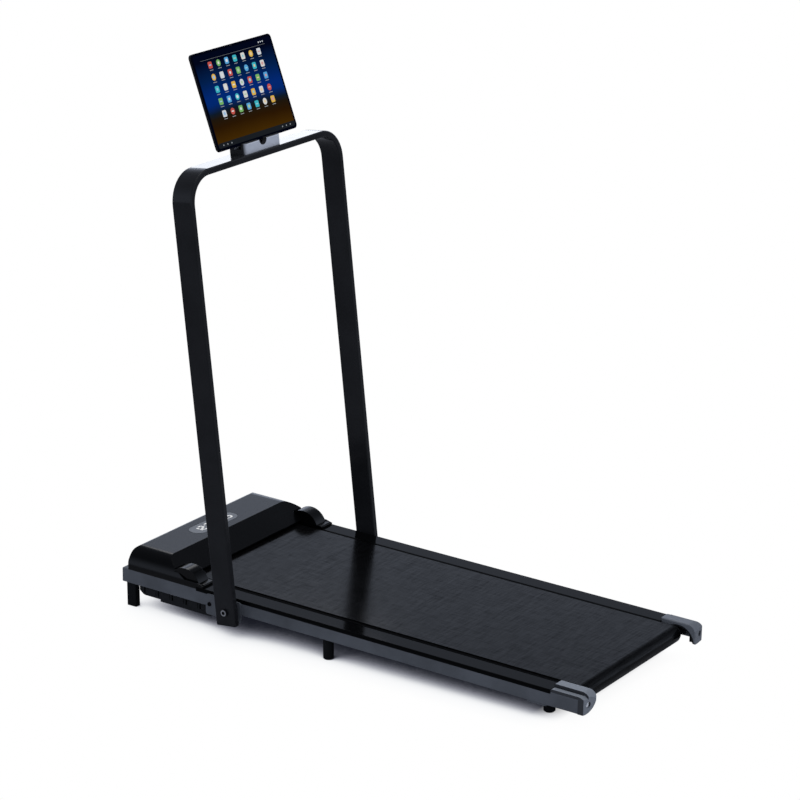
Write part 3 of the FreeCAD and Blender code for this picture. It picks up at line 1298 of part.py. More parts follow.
def floor_pieces():
    """Every piece drawn upright on the floor."""
    pieces = pair("front_foot", front_foot())
    pieces.update(pair("mid_foot", round_foot(MID_FOOT_RADIUS, MID_FOOT_SIDE, MID_CROSS_PLACE, 0)))
    pieces.update(pair(
        "rear_foot", round_foot(REAR_FOOT_RADIUS, REAR_FOOT_SIDE, REAR_CROSS_PLACE, FOOT_PLATE_THICKNESS)))
    return pieces


def placed(pieces, placement):
    """Pieces moved from their own frame into the part's."""
    return {name: shape.transformed(placement.toMatrix()) for name, shape in pieces.items()}


def main():
    """Builds every piece and writes it under its name."""
    os.makedirs("parts", exist_ok=True)
    pieces = placed(deck_pieces(), INCLINE)
    pieces.update(placed(handrail_pieces(), LEAN))
    pieces.update(floor_pieces())
    whole = Part.makeCompound(list(pieces.values())).BoundBox
    print("pieces", len(pieces))
    print("box", [round(value, 2) for value in (
        whole.XMin, whole.XMax, whole.YMin, whole.YMax, whole.ZMin, whole.ZMax)])
    pivot = INCLINE.multVec(Vector(0, PIVOT_PLACE, PIVOT_HEIGHT))
    print("fold pivot", pivot)
    for name, shape in pieces.items():
        shape.exportStep("parts/" + name + ".step")


main()
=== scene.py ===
"""Looks of a walking pad with a folding handrail: finishes, small details, studio and camera.

Lengths are in metres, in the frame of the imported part: X to the walker's right, Y forward, Z up.
"""
import json
import math

import bmesh
import bpy
from mathutils import Matrix, Vector


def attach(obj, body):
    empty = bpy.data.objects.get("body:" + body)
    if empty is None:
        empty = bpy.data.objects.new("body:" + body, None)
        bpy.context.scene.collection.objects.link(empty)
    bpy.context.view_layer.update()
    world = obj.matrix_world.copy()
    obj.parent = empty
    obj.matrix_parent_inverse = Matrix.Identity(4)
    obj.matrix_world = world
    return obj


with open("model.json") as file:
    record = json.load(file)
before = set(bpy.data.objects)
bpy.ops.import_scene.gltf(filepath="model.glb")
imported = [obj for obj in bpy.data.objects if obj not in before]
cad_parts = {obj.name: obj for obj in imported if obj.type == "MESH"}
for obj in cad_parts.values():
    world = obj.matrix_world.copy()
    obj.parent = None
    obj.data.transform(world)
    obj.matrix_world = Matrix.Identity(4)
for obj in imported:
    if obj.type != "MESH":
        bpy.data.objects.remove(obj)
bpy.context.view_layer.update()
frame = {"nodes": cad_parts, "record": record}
nodes = frame["nodes"]
MM = 0.001

# Camera, fitted to the photograph
CAMERA_PLACE = (-5.1294, -3.5003, 2.5872)
CAMERA_AZIMUTH_DEG = -55.537
CAMERA_ELEVATION_DEG = 18.359
CAMERA_LENS = 139.54
CAMERA_SENSOR = 36.0

# Where the deck, the handrail and the tablet lie
DECK_INCLINE_DEG = 1.15
DECK_PLACE = (0, 5.3 * MM, 49.2 * MM)
PIVOT_PLACE = (0, 285 * MM, 11.6 * MM)
HANDRAIL_LEAN_DEG = 7.08
TABLET_SEAT = (0, -7.2 * MM, 975 * MM)
TABLET_TILT_DEG = 14.1
TABLET_WIDTH = 279 * MM
TABLET_HEIGHT = 211 * MM
TABLET_THICKNESS = 6 * MM
HOOD_TOP = 78 * MM
DISPLAY_PLACE = 524 * MM
INLET_HEIGHT = 52 * MM
SWITCH_PLACE = 96 * MM
ROCKER_PIVOT = 571 * MM
ROCKER_TILT_DEG = 8
SKIN = 0.15 * MM


def turned(degrees):
    """Turn about X."""
    return Matrix.Rotation(math.radians(degrees), 4, "X")


DECK = Matrix.Translation(DECK_PLACE) @ turned(DECK_INCLINE_DEG)
HANDRAIL = DECK @ Matrix.Translation(PIVOT_PLACE) @ turned(-HANDRAIL_LEAN_DEG)
TABLET = HANDRAIL @ Matrix.Translation(TABLET_SEAT) @ turned(-TABLET_TILT_DEG)


# Shader building blocks

BEVEL_SAMPLES = 4


class Nodes:
    """A shader tree under construction, with short names for the nodes that it uses."""

    def __init__(self, tree):
        self.tree = tree

    def node(self, kind, **settings):
        """A new node with its settings."""
        made = self.tree.nodes.new("ShaderNode" + kind)
        for key, value in settings.items():
            setattr(made, key, value)
        return made

    def link(self, source, target):
        """A wire from an output to an input."""
        self.tree.links.new(source, target)

    def along(self, axis, kind="Object"):
        """One part of a texture coordinate: of the place, the normal or the direction."""
        coordinates = self.node("TexCoord")
        split = self.node("SeparateXYZ")
        self.link(coordinates.outputs[kind], split.inputs["Vector"])
        return split.outputs[axis]

    def spread(self, factor, low, high, start=0.0, end=1.0):
        """A factor spread from one range over another."""
        ranged = self.node("MapRange")
        ranged.inputs["From Min"].default_value = start
        ranged.inputs["From Max"].default_value = end
        ranged.inputs["To Min"].default_value = low
        ranged.inputs["To Max"].default_value = high
        self.link(factor, ranged.inputs["Value"])
        return ranged.outputs["Result"]

    def ramp(self, factor, stops):
        """Colours by factor: stops of (place, colour)."""
        ramp = self.node("ValToRGB")
        marks = ramp.color_ramp.elements
        while len(marks) < len(stops):
            marks.new(0.5)
        for mark, (place, color) in zip(marks, stops):
            mark.position = place
            mark.color = (*color, 1)
        self.link(factor, ramp.inputs["Fac"])
        return ramp.outputs["Color"]


class Finish(Nodes):
    """A material of the object, built round its surface shader."""

    def __init__(self, name, color, roughness, **settings):
        self.material = bpy.data.materials.new(name)
        self.material.use_nodes = True
        super().__init__(self.material.node_tree)
        self.shader = self.tree.nodes["Principled BSDF"]
        self.shader.inputs["Base Color"].default_value = (*color, 1)
        self.shader.inputs["Roughness"].default_value = roughness
        for key, value in settings.items():
            self.shader.inputs[key.replace("_", " ")].default_value = value

    def place(self, stretch=(1, 1, 1)):
        """Object coordinates, stretched."""
        coordinates = self.node("TexCoord")
        mapping = self.node("Mapping")
        mapping.inputs["Scale"].default_value = stretch
        self.link(coordinates.outputs["Object"], mapping.inputs["Vector"])
        return mapping.outputs["Vector"]

    def noise(self, scale, detail=2.0, stretch=(1, 1, 1)):
        """Soft noise, zero to one."""
        texture = self.node("TexNoise")
        texture.inputs["Scale"].default_value = scale
        texture.inputs["Detail"].default_value = detail
        self.link(self.place(stretch), texture.inputs["Vector"])
        return texture.outputs["Fac"]

    def math(self, operation, first, second):
        """Two values put together."""
        made = self.node("Math", operation=operation)
        self.link(first, made.inputs[0])
        self.link(second, made.inputs[1])
        return made.outputs["Value"]

    def reach(self, place):
        """Distance from the line along X through a place."""
        coordinates = self.node("TexCoord")
        offset = self.node("VectorMath", operation="SUBTRACT")
        offset.inputs[1].default_value = place
        flat = self.node("VectorMath", operation="MULTIPLY")
        flat.inputs[1].default_value = (0, 1, 1)
        length = self.node("VectorMath", operation="LENGTH")
        self.link(coordinates.outputs["Object"], offset.inputs[0])
        self.link(offset.outputs["Vector"], flat.inputs[0])
        self.link(flat.outputs["Vector"], length.inputs[0])
        return length.outputs["Value"]

    def sum(self, first, second, share):
        """The first value plus a share of the second."""
        added = self.node("Math", operation="MULTIPLY_ADD")
        added.inputs[1].default_value = share
        self.link(second, added.inputs[0])
        self.link(first, added.inputs[2])
        return added.outputs["Value"]

    def tinted(self, share):
        """The piece's own colours, each times a share."""
        tint = self.node("VertexColor", layer_name="tint")
        scaled = self.node("VectorMath", operation="SCALE")
        self.link(tint.outputs["Color"], scaled.inputs[0])
        self.link(share, scaled.inputs["Scale"])
        return scaled.outputs["Vector"]

    def set_from(self, socket, output):
        """A property of the surface, driven by an output."""
        self.link(output, self.shader.inputs[socket])

    def bump(self, height, strength, distance, edge=0):
        """Bump from a height, over edges softened by a radius."""
        bump = self.node("Bump")
        bump.inputs["Strength"].default_value = strength
        bump.inputs["Distance"].default_value = distance
        self.link(height, bump.inputs["Height"])
        if edge:
            bevel = self.node("Bevel", samples=BEVEL_SAMPLES)
            bevel.inputs["Radius"].default_value = edge
            self.link(bevel.outputs["Normal"], bump.inputs["Normal"])
        self.link(bump.outputs["Normal"], self.shader.inputs["Normal"])


def shade(low, high, share):
    """A colour between two."""
    return tuple(a + (b - a) * share for a, b in zip(low, high))


def darkened(color, share):
    """A colour with a share of its light taken away."""
    return shade(color, (0, 0, 0), share)


MOULD_PATCHES = 9
MOULD_VARIETY = 0.25
MOULD_EDGE = 0.7 * MM
MOULD_DEPTH = 0.1 * MM
GLOSS_LOW = 0.85
GLOSS_HIGH = 1.15


def moulded(name, color, roughness, grain_size, grain=0.12, **settings):
    """Moulded or painted surface: fine grain, slow changes of tone and gloss, softened edges."""
    finish = Finish(name, color, roughness, **settings)
    slow = finish.noise(MOULD_PATCHES, detail=3)
    lighter = shade(color, tuple(2 * c for c in color), MOULD_VARIETY)
    finish.set_from("Base Color", finish.ramp(slow, [(0.3, darkened(color, MOULD_VARIETY)), (0.7, lighter)]))
    finish.set_from("Roughness", finish.spread(slow, roughness * GLOSS_LOW, roughness * GLOSS_HIGH))
    finish.bump(finish.noise(1 / grain_size), grain, MOULD_DEPTH, MOULD_EDGE)
    return finish.material


TOOL_LINES = 900
TOOL_DEPTH = 0.05 * MM
METAL_EDGE = 0.4 * MM
TOOL_DARKENING = 0.3
TOOL_GLOSS_LOW = 0.7
TOOL_GLOSS_HIGH = 1.3


def turned_metal(name, color, roughness, stretch):
    """Bare metal with fine tool lines along the stretched direction."""
    finish = Finish(name, color, roughness, Metallic=1.0)
    lines = finish.noise(TOOL_LINES, detail=3, stretch=stretch)
    tones = [(0.25, darkened(color, TOOL_DARKENING)), (0.75, color)]
    gloss = finish.spread(lines, roughness * TOOL_GLOSS_LOW, roughness * TOOL_GLOSS_HIGH)
    finish.set_from("Base Color", finish.ramp(lines, tones))
    finish.set_from("Roughness", gloss)
    finish.bump(lines, strength=0.1, distance=TOOL_DEPTH, edge=METAL_EDGE)
    return finish.material


# Finishes of the object

WEAVE_THREADS = 330
WEAVE_STREAK = 0.07
WEAVE_COLORS = [(0.2, (0.0005, 0.0005, 0.0006)), (1, (0.003, 0.0031, 0.0035))]
BELT_PATCHES = 10


def belt_finish():
    """Walking belt: black, woven of fine short streaks, with a blurred sheen."""
    finish = Finish("belt_black", color=(0.0005, 0.0005, 0.0006), roughness=0.2, IOR=1.13)
    across = finish.noise(WEAVE_THREADS, detail=3, stretch=(WEAVE_STREAK, 1, 1))
    along = finish.noise(WEAVE_THREADS, detail=3, stretch=(1, WEAVE_STREAK, 1))
    weave = finish.spread(finish.sum(across, along, share=0.8), low=0, high=1, start=0.5, end=1.3)
    patches = finish.noise(BELT_PATCHES, detail=3)
    finish.set_from("Base Color", finish.ramp(weave, WEAVE_COLORS))
    finish.set_from("Specular IOR Level", finish.spread(weave, low=0.15, high=0.85))
    finish.set_from("Roughness", finish.spread(patches, low=0.14, high=0.19))
    finish.bump(weave, strength=0.015, distance=MOULD_DEPTH)
    return finish.material


FIBRES = 300
FIBRE_STRETCH = (1, 0.2, 1)
FIBRE_COLORS = [(0.3, (0.0005, 0.0005, 0.0006)), (0.7, (0.0011, 0.0011, 0.0012))]


def board_finish():
    """Black laminate of the board under the belt, with a faint grain."""
    finish = Finish("board_laminate", color=(0.0008, 0.0008, 0.0009), roughness=0.5, IOR=1.04)
    fibres = finish.noise(FIBRES, detail=4, stretch=FIBRE_STRETCH)
    finish.set_from("Base Color", finish.ramp(fibres, FIBRE_COLORS))
    finish.bump(fibres, strength=0.15, distance=MOULD_DEPTH)
    return finish.material


TRACKS = 90
LACQUER_DARK = (0.015, 0.1, 0.04, 1)
LACQUER_LIGHT = (0.02, 0.13, 0.06, 1)
COPPER = (0.3, 0.2, 0.06, 1)


def circuit_finish():
    """Green lacquer with copper tracks."""
    finish = Finish("circuit_board", color=(0.02, 0.12, 0.05), roughness=0.35)
    tracks = finish.node("TexBrick")
    tracks.inputs["Scale"].default_value = TRACKS
    tracks.inputs["Color1"].default_value = LACQUER_DARK
    tracks.inputs["Color2"].default_value = LACQUER_LIGHT
    tracks.inputs["Mortar"].default_value = COPPER
    finish.link(finish.place(), tracks.inputs["Vector"])
    finish.set_from("Base Color", tracks.outputs["Color"])
    finish.bump(tracks.outputs["Fac"], strength=0.2, distance=MOULD_DEPTH)
    return finish.material


HOLDER_PATCHES = 600
HOLDER_GRAIN = 1300
HOLDER_COLORS = [(0.3, (0.016, 0.017, 0.019)), (0.85, (0.4, 0.43, 0.49))]


def holder_finish():
    """Device holder: grey towards the walker, dark at its ends, with a fine grain."""
    finish = Finish("holder_grey", color=(0.1, 0.11, 0.13), roughness=0.5, IOR=1.15)
    towards = finish.sum(finish.along("Y", "Normal"), finish.noise(HOLDER_PATCHES), share=0.05)
    facing = finish.spread(towards, low=1, high=0, start=-1, end=0)
    finish.set_from("Base Color", finish.ramp(facing, HOLDER_COLORS))
    finish.bump(finish.noise(HOLDER_GRAIN), strength=0.1, distance=MOULD_DEPTH, edge=MOULD_EDGE)
    return finish.material


# Painted shadow round the end caps' arch: the arch's axis, the radius where the shadow is full and the radius
# where it ends
ARCH_AXIS = (0, -554.6 * MM, 38 * MM)
ARCH_SHADOW_INNER = 37 * MM
ARCH_SHADOW_OUTER = 41 * MM
CAP_PATCHES = 500
CAP_GRAIN = 1400


def cap_finish(name, side, color, dark):
    """End cap: grey, with painted shade on its outer walls and a painted shadow round the arch on its inner
    wall.
    """
    finish = Finish(name, color, roughness=0.42, IOR=1.3)
    # Painted shade on the walls that face outward
    outward_shade = finish.spread(finish.along("X", "Normal"), low=-side, high=side, start=-1, end=1)
    # Painted shadow on the inner wall round the arch
    arch_shadow_reach = finish.spread(finish.reach(ARCH_AXIS), low=-1, high=0, start=ARCH_SHADOW_INNER, end=ARCH_SHADOW_OUTER)
    arch = finish.math("MULTIPLY", outward_shade, arch_shadow_reach)
    cap_shade_mask = finish.sum(finish.math("MAXIMUM", outward_shade, arch), finish.noise(CAP_PATCHES), share=0.1)
    # The dark colour is the painted shade and the painted shadow
    finish.set_from("Base Color", finish.ramp(cap_shade_mask, [(0.6, color), (0.82, dark)]))
    finish.set_from("Roughness", finish.spread(finish.noise(MOULD_PATCHES, detail=3), low=0.36, high=0.48))
    finish.bump(finish.noise(CAP_GRAIN), strength=0.12, distance=MOULD_DEPTH, edge=MOULD_EDGE)
    return finish.material


PIVOT_AXIS = DECK @ Vector(PIVOT_PLACE)
BOLT_REACH = 10 * MM
BOLT_RING_NOISE = 700
BOLT_GRAIN = 900
# The lighter grey of the ring round the bolt's middle
RING_GREY = (0.16, 0.165, 0.18)
BOLT_COLORS = [
    (0.42, (0.001, 0.001, 0.002)), (0.47, RING_GREY), (0.68, RING_GREY), (0.74, (0.004, 0.004, 0.005)),
    (0.9, (0.003, 0.003, 0.004))]


def bolt_finish():
    """Blackened pivot bolt: a lighter grey ring round a darker middle."""
    finish = Finish("bolt_black", color=(0.02, 0.02, 0.022), roughness=0.35, IOR=1.3)
    ring = finish.spread(finish.reach(PIVOT_AXIS), low=0, high=1, start=0, end=BOLT_REACH)
    tone_mask = finish.sum(ring, finish.noise(BOLT_RING_NOISE), share=0.06)
    finish.set_from("Base Color", finish.ramp(tone_mask, BOLT_COLORS))
    finish.bump(finish.noise(BOLT_GRAIN), strength=0.1, distance=TOOL_DEPTH, edge=METAL_EDGE)
    return finish.material


# Tension bolts: painted light on the one on the walker's left, painted shade on the one on the right
GLINT_SHADE_SPAN = 0.2
GLINT_SHADE_NOISE = 600
PLATED_EDGE = 0.3 * MM
GLINT_SHADE_COLORS = [(0.3, (0.88, 0.9, 0.92)), (0.9, (0.003, 0.003, 0.004))]


def bolt_glint_and_shade_finish():
    """Tension bolts: painted light makes the one on the walker's left bright, and painted shade makes the one
    on the right dark.
    """
    finish = Finish("bolt_painted_glint_and_shade", color=(0.8, 0.82, 0.85), roughness=0.4, Metallic=0.3)
    # Painted light for the left bolt, painted shade for the right one, by the side each sits on
    side = finish.spread(finish.along("X"), low=0, high=1, start=-GLINT_SHADE_SPAN, end=GLINT_SHADE_SPAN)
    tone_mask = finish.sum(side, finish.noise(GLINT_SHADE_NOISE, detail=3), share=0.2)
    finish.set_from("Base Color", finish.ramp(tone_mask, GLINT_SHADE_COLORS))
    finish.bump(finish.noise(BOLT_GRAIN), strength=0.08, distance=TOOL_DEPTH, edge=PLATED_EDGE)
    return finish.material


SCREEN_WAVES = 11
SCREEN_WAVE_STRETCH = (1, 1, 0.3)
SCREEN_LIGHT = 1.0
SCREEN_COLORS = [
    (0.12, (0.05, 0.02, 0.0006)), (0.28, (0.021, 0.0075, 0.0006)), (0.37, (0.012, 0.0075, 0.0035)),
    (0.42, (0.004, 0.01, 0.02)), (0.51, (0.0004, 0.02, 0.15)), (0.58, (0.0004, 0.02, 0.16)),
    (0.74, (0.0004, 0.013, 0.07)), (0.94, (0.0003, 0.0016, 0.01))]


def screen_finish():
    """Lit screen: night blue, deepest at the top, over a warm foot with a soft, slightly wavy edge."""
    finish = Finish("screen_glow", color=(0, 0, 0), roughness=0.12, IOR=1.02)
    height = finish.spread(finish.along("Z"), low=0, high=1, start=0, end=TABLET_HEIGHT)
    lifted = finish.sum(height, finish.noise(SCREEN_WAVES, stretch=SCREEN_WAVE_STRETCH), share=0.1)
    finish.set_from("Emission Color", finish.ramp(lifted, SCREEN_COLORS))
    finish.shader.inputs["Emission Strength"].default_value = SCREEN_LIGHT
    return finish.material


LIT_GRAIN = 900
LIT_LIGHT = 0.9
MARK_GRAIN = 1200


def lit_finish(name):
    """Small lit marks, coloured by the piece's own colours."""
    finish = Finish(name, color=(0, 0, 0), roughness=0.4, IOR=1.06)
    grain = finish.spread(finish.noise(LIT_GRAIN, detail=1), low=0.8, high=1.05)
    finish.set_from("Emission Color", finish.tinted(grain))
    finish.shader.inputs["Emission Strength"].default_value = LIT_LIGHT
    return finish.material


def marked_finish(name):
    """Printed or inset small pieces, coloured by the piece's own colours."""
    finish = Finish(name, color=(0, 0, 0), roughness=0.35, IOR=1.2)
    grain = finish.spread(finish.noise(MARK_GRAIN), low=0.75, high=1.2)
    finish.set_from("Base Color", finish.tinted(grain))
    return finish.material


# By material slot; a moulded finish has its name, colour, roughness and size of grain
FINISHES = {
    "frame_steel": moulded("frame_steel", (0.066, 0.072, 0.083), 0.38, 0.9 * MM, IOR=1.2),
    "handrail_black": moulded("handrail_black", (0.0095, 0.01, 0.0115), 0.14, 1.2 * MM, grain=0.04, IOR=1.18),
    "strip_black": moulded("strip_black", (0.0012, 0.0013, 0.0015), 0.08, 4 * MM, grain=0.02, IOR=1.1),
    "belt_black": belt_finish(),
    "hood_black": moulded("hood_black", (0.001, 0.0011, 0.0013), 0.18, 0.8 * MM, grain=0.06, IOR=1.22),
    "pan_black": moulded("pan_black", (0.0085, 0.0092, 0.0105), 0.45, 0.8 * MM, IOR=1.15),
    "cap_grey": cap_finish("cap_grey", -1, (0.145, 0.159, 0.18), (0.022, 0.024, 0.028)),
    "rubber_black": moulded("rubber_black", (0.0046, 0.005, 0.0058), 0.55, 0.6 * MM, grain=0.3, IOR=1.12),
    "bright_steel": turned_metal("bright_steel", (0.5, 0.5, 0.52), 0.28, (0.08, 1, 1)),
    "cast_metal": turned_metal("cast_metal", (0.25, 0.25, 0.26), 0.5, (1, 1, 1)),
    "motor_paint": moulded("motor_paint", (0.02, 0.02, 0.022), 0.3, 1.5 * MM),
    "aluminium": turned_metal("aluminium", (0.7, 0.7, 0.72), 0.35, (0.1, 1, 1)),
    "circuit_board": circuit_finish(),
    "board_wood": board_finish(),
    "display_lens": moulded("display_lens", (0.125, 0.132, 0.143), 0.12, 3 * MM, grain=0.01, IOR=1.15),
    "switch_black": moulded("switch_black", (0.008, 0.008, 0.009), 0.3, 0.8 * MM, IOR=1.3),
    "tablet_shell": moulded("tablet_shell", (0.005, 0.005, 0.0065), 0.35, 0.5 * MM, IOR=1.2),
    "tablet_glass": moulded("tablet_glass", (0.0003, 0.0009, 0.005), 0.08, 6 * MM, grain=0.01, IOR=1.02),
}
BLACKENED = turned_metal("blackened_steel", (0.012, 0.012, 0.013), 0.5, (0.1, 1, 1))
BLACKENED_NODES = (
    "motor_shaft", "motor_pulley", "flywheel", "roller_pulley", "front_roller", "front_roller_axle",
    "front_roller_bearings")
RUBBER_DARK_NODES = ("rear_roller", "rear_roller_axle", "rear_roller_bearings", "tension_blocks")
PAN_DARK_NODES = ("pivot_bushes", "front_axle_blocks")

# By node, where a node looks different from its slot
OWN_FINISHES = {
    "device_holder": holder_finish(),
    # The right cap is a darker copy of the caps' finish: painted shade over the whole cap
    "end_cap_right": cap_finish("cap_grey_right_shaded", 1, (0.095, 0.104, 0.119), (0.006, 0.0065, 0.0075)),
    "pivot_bolts": bolt_finish(),
    "bracket_screws": moulded("screw_black", (0.0025, 0.0025, 0.003), 0.4, 0.8 * MM, IOR=1.1),
    "tension_bolts": bolt_glint_and_shade_finish(),
    **dict.fromkeys(BLACKENED_NODES, BLACKENED),
    **dict.fromkeys(RUBBER_DARK_NODES, FINISHES["rubber_black"]),
    **dict.fromkeys(PAN_DARK_NODES, FINISHES["pan_black"]),
}


def dress_nodes():
    """Gives each CAD node the finish of its material slot, or its own."""
    for entry in frame["record"]["subparts"]:
        name = entry["node"]
        mesh = nodes[name].data
        mesh.materials.clear()
        mesh.materials.append(OWN_FINISHES.get(name, FINISHES[entry["material_slot"]]))


# Small pieces

def piece(name, mesh, place, body, finish):
    """A new piece at a place, riding on a body."""
    made = bpy.data.objects.new(name, mesh)
    bpy.context.scene.collection.objects.link(made)
    made.matrix_world = place
    mesh.materials.append(finish)
    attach(made, body)
    return made


def rounded(width, height, radius, steps=6):
    """Points of a rounded rectangle about the middle."""
    points = []
    for quarter, (side, end) in enumerate(((1, 1), (-1, 1), (-1, -1), (1, -1))):
        middle = Vector((side * (width / 2 - radius), end * (height / 2 - radius)))
        for step in range(steps + 1):
            angle = math.pi / 2 * (quarter + step / steps)
            points.append(middle + radius * Vector((math.cos(angle), math.sin(angle))))
    return points


def disc(radius, steps=24):
    """Points of a circle about the middle."""
    turn = 2 * math.pi / steps
    return [radius * Vector((math.cos(turn * step), math.sin(turn * step))) for step in range(steps)]


class Sheet:
    """Thin flat shapes on one plane, each with its own colour, joined in one mesh."""

    def __init__(self, name, thickness):
        self.mesh = bpy.data.meshes.new(name)
        self.work = bmesh.new()
        self.tint = self.work.loops.layers.float_color.new("tint")
        self.thickness = thickness

    def colored(self, faces, color):
        """Gives faces their colour."""
        for face in faces:
            for loop in face.loops:
                loop[self.tint] = (*color, 1)

    def corners(self, points, at, height):
        """An outline's corners about a place, at a height over the plane."""
        return [self.work.verts.new((p.x + at[0], p.y + at[1], height)) for p in points]

    def walls(self, low, high):
        """The band of faces between two outlines."""
        faces = []
        for index in range(len(low)):
            after = (index + 1) % len(low)
            faces.append(self.work.faces.new((low[index], low[after], high[after], high[index])))
        return faces

    def add(self, points, at, color):
        """A closed plate with the given outline, its top in the plane's positive direction."""
        low = self.corners(points, at, 0)
        high = self.corners(points, at, self.thickness)
        faces = [self.work.faces.new(high), self.work.faces.new(low[::-1])]
        self.colored(faces + self.walls(low, high), color)

    def ring(self, outer, inner, at, color):
        """A flat ring between two outlines of as many points."""
        outer_low = self.corners(outer, at, 0)
        outer_high = self.corners(outer, at, self.thickness)
        inner_low = self.corners(inner, at, 0)
        inner_high = self.corners(inner, at, self.thickness)
        faces = self.walls(outer_low, outer_high) + self.walls(inner_high, inner_low)
        faces += self.walls(outer_high, inner_high) + self.walls(inner_low, outer_low)
        self.colored(faces, color)

    def done(self):
        """The finished mesh."""
        self.work.to_mesh(self.mesh)
        self.work.free()
        return self.mesh


# The tablet's picture plane looks back at the walker: its X to the walker's right, its Y up the glass.
# The tiles' span, rise and start are shares of the tablet's size.
SCREEN_PLANE = TABLET @ turned(90)
SCREEN_MARGIN = 6 * MM
SCREEN_RADIUS = 4 * MM
TILE_COLUMNS = 7
TILE_ROWS = 5
TILE_SIZE = 13 * MM
TILE_SPAN = 0.607
TILE_RISE = 0.5
TILE_START = 0.351
TASK_BAR = 17 * MM
TASK_BAR_COLOR = (0.009, 0.0115, 0.015)
TILE_COLORS = (
    (0.7, 0.75, 0.8), (0.1, 0.4, 0.75), (0.8, 0.5, 0.08), (0.2, 0.5, 0.15), (0.75, 0.75, 0.72),
    (0.6, 0.1, 0.08), (0.05, 0.5, 0.6))
PALE = (0.75, 0.8, 0.85)
LABEL_COLOR = darkened(PALE, 0.5)
STATUS_COLOR = darkened(PALE, 0.7)
TASK_DOT_COLOR = darkened(PALE, 0.6)

# Tiles and their marks: shares of the tile's size, apart from the label's height and radius
TILE_STRETCH = 1.1
TILE_CORNER = 0.2
ROUND_TILE_CORNER = 0.49
DOT_MARK = 0.28
BAR_MARK = (0.6, 0.2, 0.1)
SQUARE_MARK = (0.4, 0.4, 0.06)
MARK_PALENESS = 0.3
LABEL_SPAN = 0.9
LABEL_DROP = 0.85
LABEL_HEIGHT = 1.2 * MM
LABEL_RADIUS = 0.5 * MM

# Status line and dots: their places and the line's span are shares of the tablet's size
STATUS_LINE = 0.5 * MM
STATUS_RADIUS = 0.2 * MM
STATUS_SPAN = 0.8
STATUS_RISE = 0.91
DOT_COUNT = 3
STATUS_DOT = 1.6 * MM
STATUS_DOT_START = 0.33
STATUS_DOT_PITCH = 0.025
STATUS_DOT_RISE = 0.94
TASK_DOT = 1.7 * MM
TASK_DOT_STARTS = (-0.42, 0.32)
TASK_DOT_PITCH = 0.05


def screen():
    """Lit panel just in front of the glass."""
    mesh = bpy.data.meshes.new("screen_panel")
    work = bmesh.new()
    half = TABLET_HEIGHT / 2
    points = rounded(TABLET_WIDTH - 2 * SCREEN_MARGIN, TABLET_HEIGHT - 2 * SCREEN_MARGIN, SCREEN_RADIUS)
    front = [work.verts.new((p.x, -SKIN, p.y + half)) for p in points]
    back = [work.verts.new((p.x, 0, p.y + half)) for p in points]
    work.faces.new(front)
    work.faces.new(back[::-1])
    for index in range(len(points)):
        after = (index + 1) % len(points)
        work.faces.new((back[index], back[after], front[after], front[index]))
    bmesh.ops.recalc_face_normals(work, faces=work.faces)
    work.to_mesh(mesh)
    work.free()
    return piece("screen_panel", mesh, TABLET, "tablet", screen_finish())


def tile_mark(sheet, index, at):
    """A plain mark on a tile: a dot, a bar or a square, in turn."""
    kind = index % 3
    color = shade(TILE_COLORS[(index * 3 + 1) % len(TILE_COLORS)], (1, 1, 1), MARK_PALENESS)
    if kind == 0:
        sheet.add(disc(TILE_SIZE * DOT_MARK), at, color)
        return
    shares = BAR_MARK if kind == 1 else SQUARE_MARK
    sheet.add(rounded(*(TILE_SIZE * share for share in shares)), at, color)


def tile(tiles, marks, index, at):
    """One generic tile with its mark and a short bar below it."""
    corner = TILE_SIZE * (ROUND_TILE_CORNER if index % 4 == 1 else TILE_CORNER)
    color = TILE_COLORS[(index * 5 + index // TILE_COLUMNS * 3) % len(TILE_COLORS)]
    tiles.add(rounded(TILE_SIZE, TILE_SIZE * TILE_STRETCH, corner), at, color)
    tile_mark(marks, index, at)
    below = (at[0], at[1] - TILE_SIZE * LABEL_DROP)
    tiles.add(rounded(TILE_SIZE * LABEL_SPAN, LABEL_HEIGHT, LABEL_RADIUS), below, LABEL_COLOR)


def screen_tiles():
    """Rows of generic tiles, a status line above and rows of dots in the bottom bar."""
    tiles = Sheet("screen_tiles", SKIN)
    marks = Sheet("screen_marks", 2 * SKIN)
    across = TABLET_WIDTH * TILE_SPAN / (TILE_COLUMNS - 1)
    up = TABLET_HEIGHT * TILE_RISE / (TILE_ROWS - 1)
    for index in range(TILE_ROWS * TILE_COLUMNS):
        row, column = divmod(index, TILE_COLUMNS)
        place = ((column - (TILE_COLUMNS - 1) / 2) * across, TABLET_HEIGHT * TILE_START + row * up)
        tile(tiles, marks, index, place)
    line = rounded(TABLET_WIDTH * STATUS_SPAN, STATUS_LINE, STATUS_RADIUS)
    tiles.add(line, (0, TABLET_HEIGHT * STATUS_RISE), STATUS_COLOR)
    bar = rounded(TABLET_WIDTH - 2 * SCREEN_MARGIN, TASK_BAR - SCREEN_MARGIN, SCREEN_RADIUS)
    bar_middle = (TASK_BAR + SCREEN_MARGIN) / 2
    tiles.add(bar, (0, bar_middle), TASK_BAR_COLOR)
    for step in range(DOT_COUNT):
        along = TABLET_WIDTH * (STATUS_DOT_START + STATUS_DOT_PITCH * step)
        tiles.add(disc(STATUS_DOT), (along, TABLET_HEIGHT * STATUS_DOT_RISE), PALE)
        for start in TASK_DOT_STARTS:
            place = (TABLET_WIDTH * (start + TASK_DOT_PITCH * step), bar_middle)
            marks.add(disc(TASK_DOT), place, TASK_DOT_COLOR)
    plane = SCREEN_PLANE @ Matrix.Translation((0, 0, SKIN))
    glow = lit_finish("screen_marks")
    piece("screen_tiles", tiles.done(), plane, "tablet", glow)
    piece("screen_marks", marks.done(), plane, "tablet", glow)


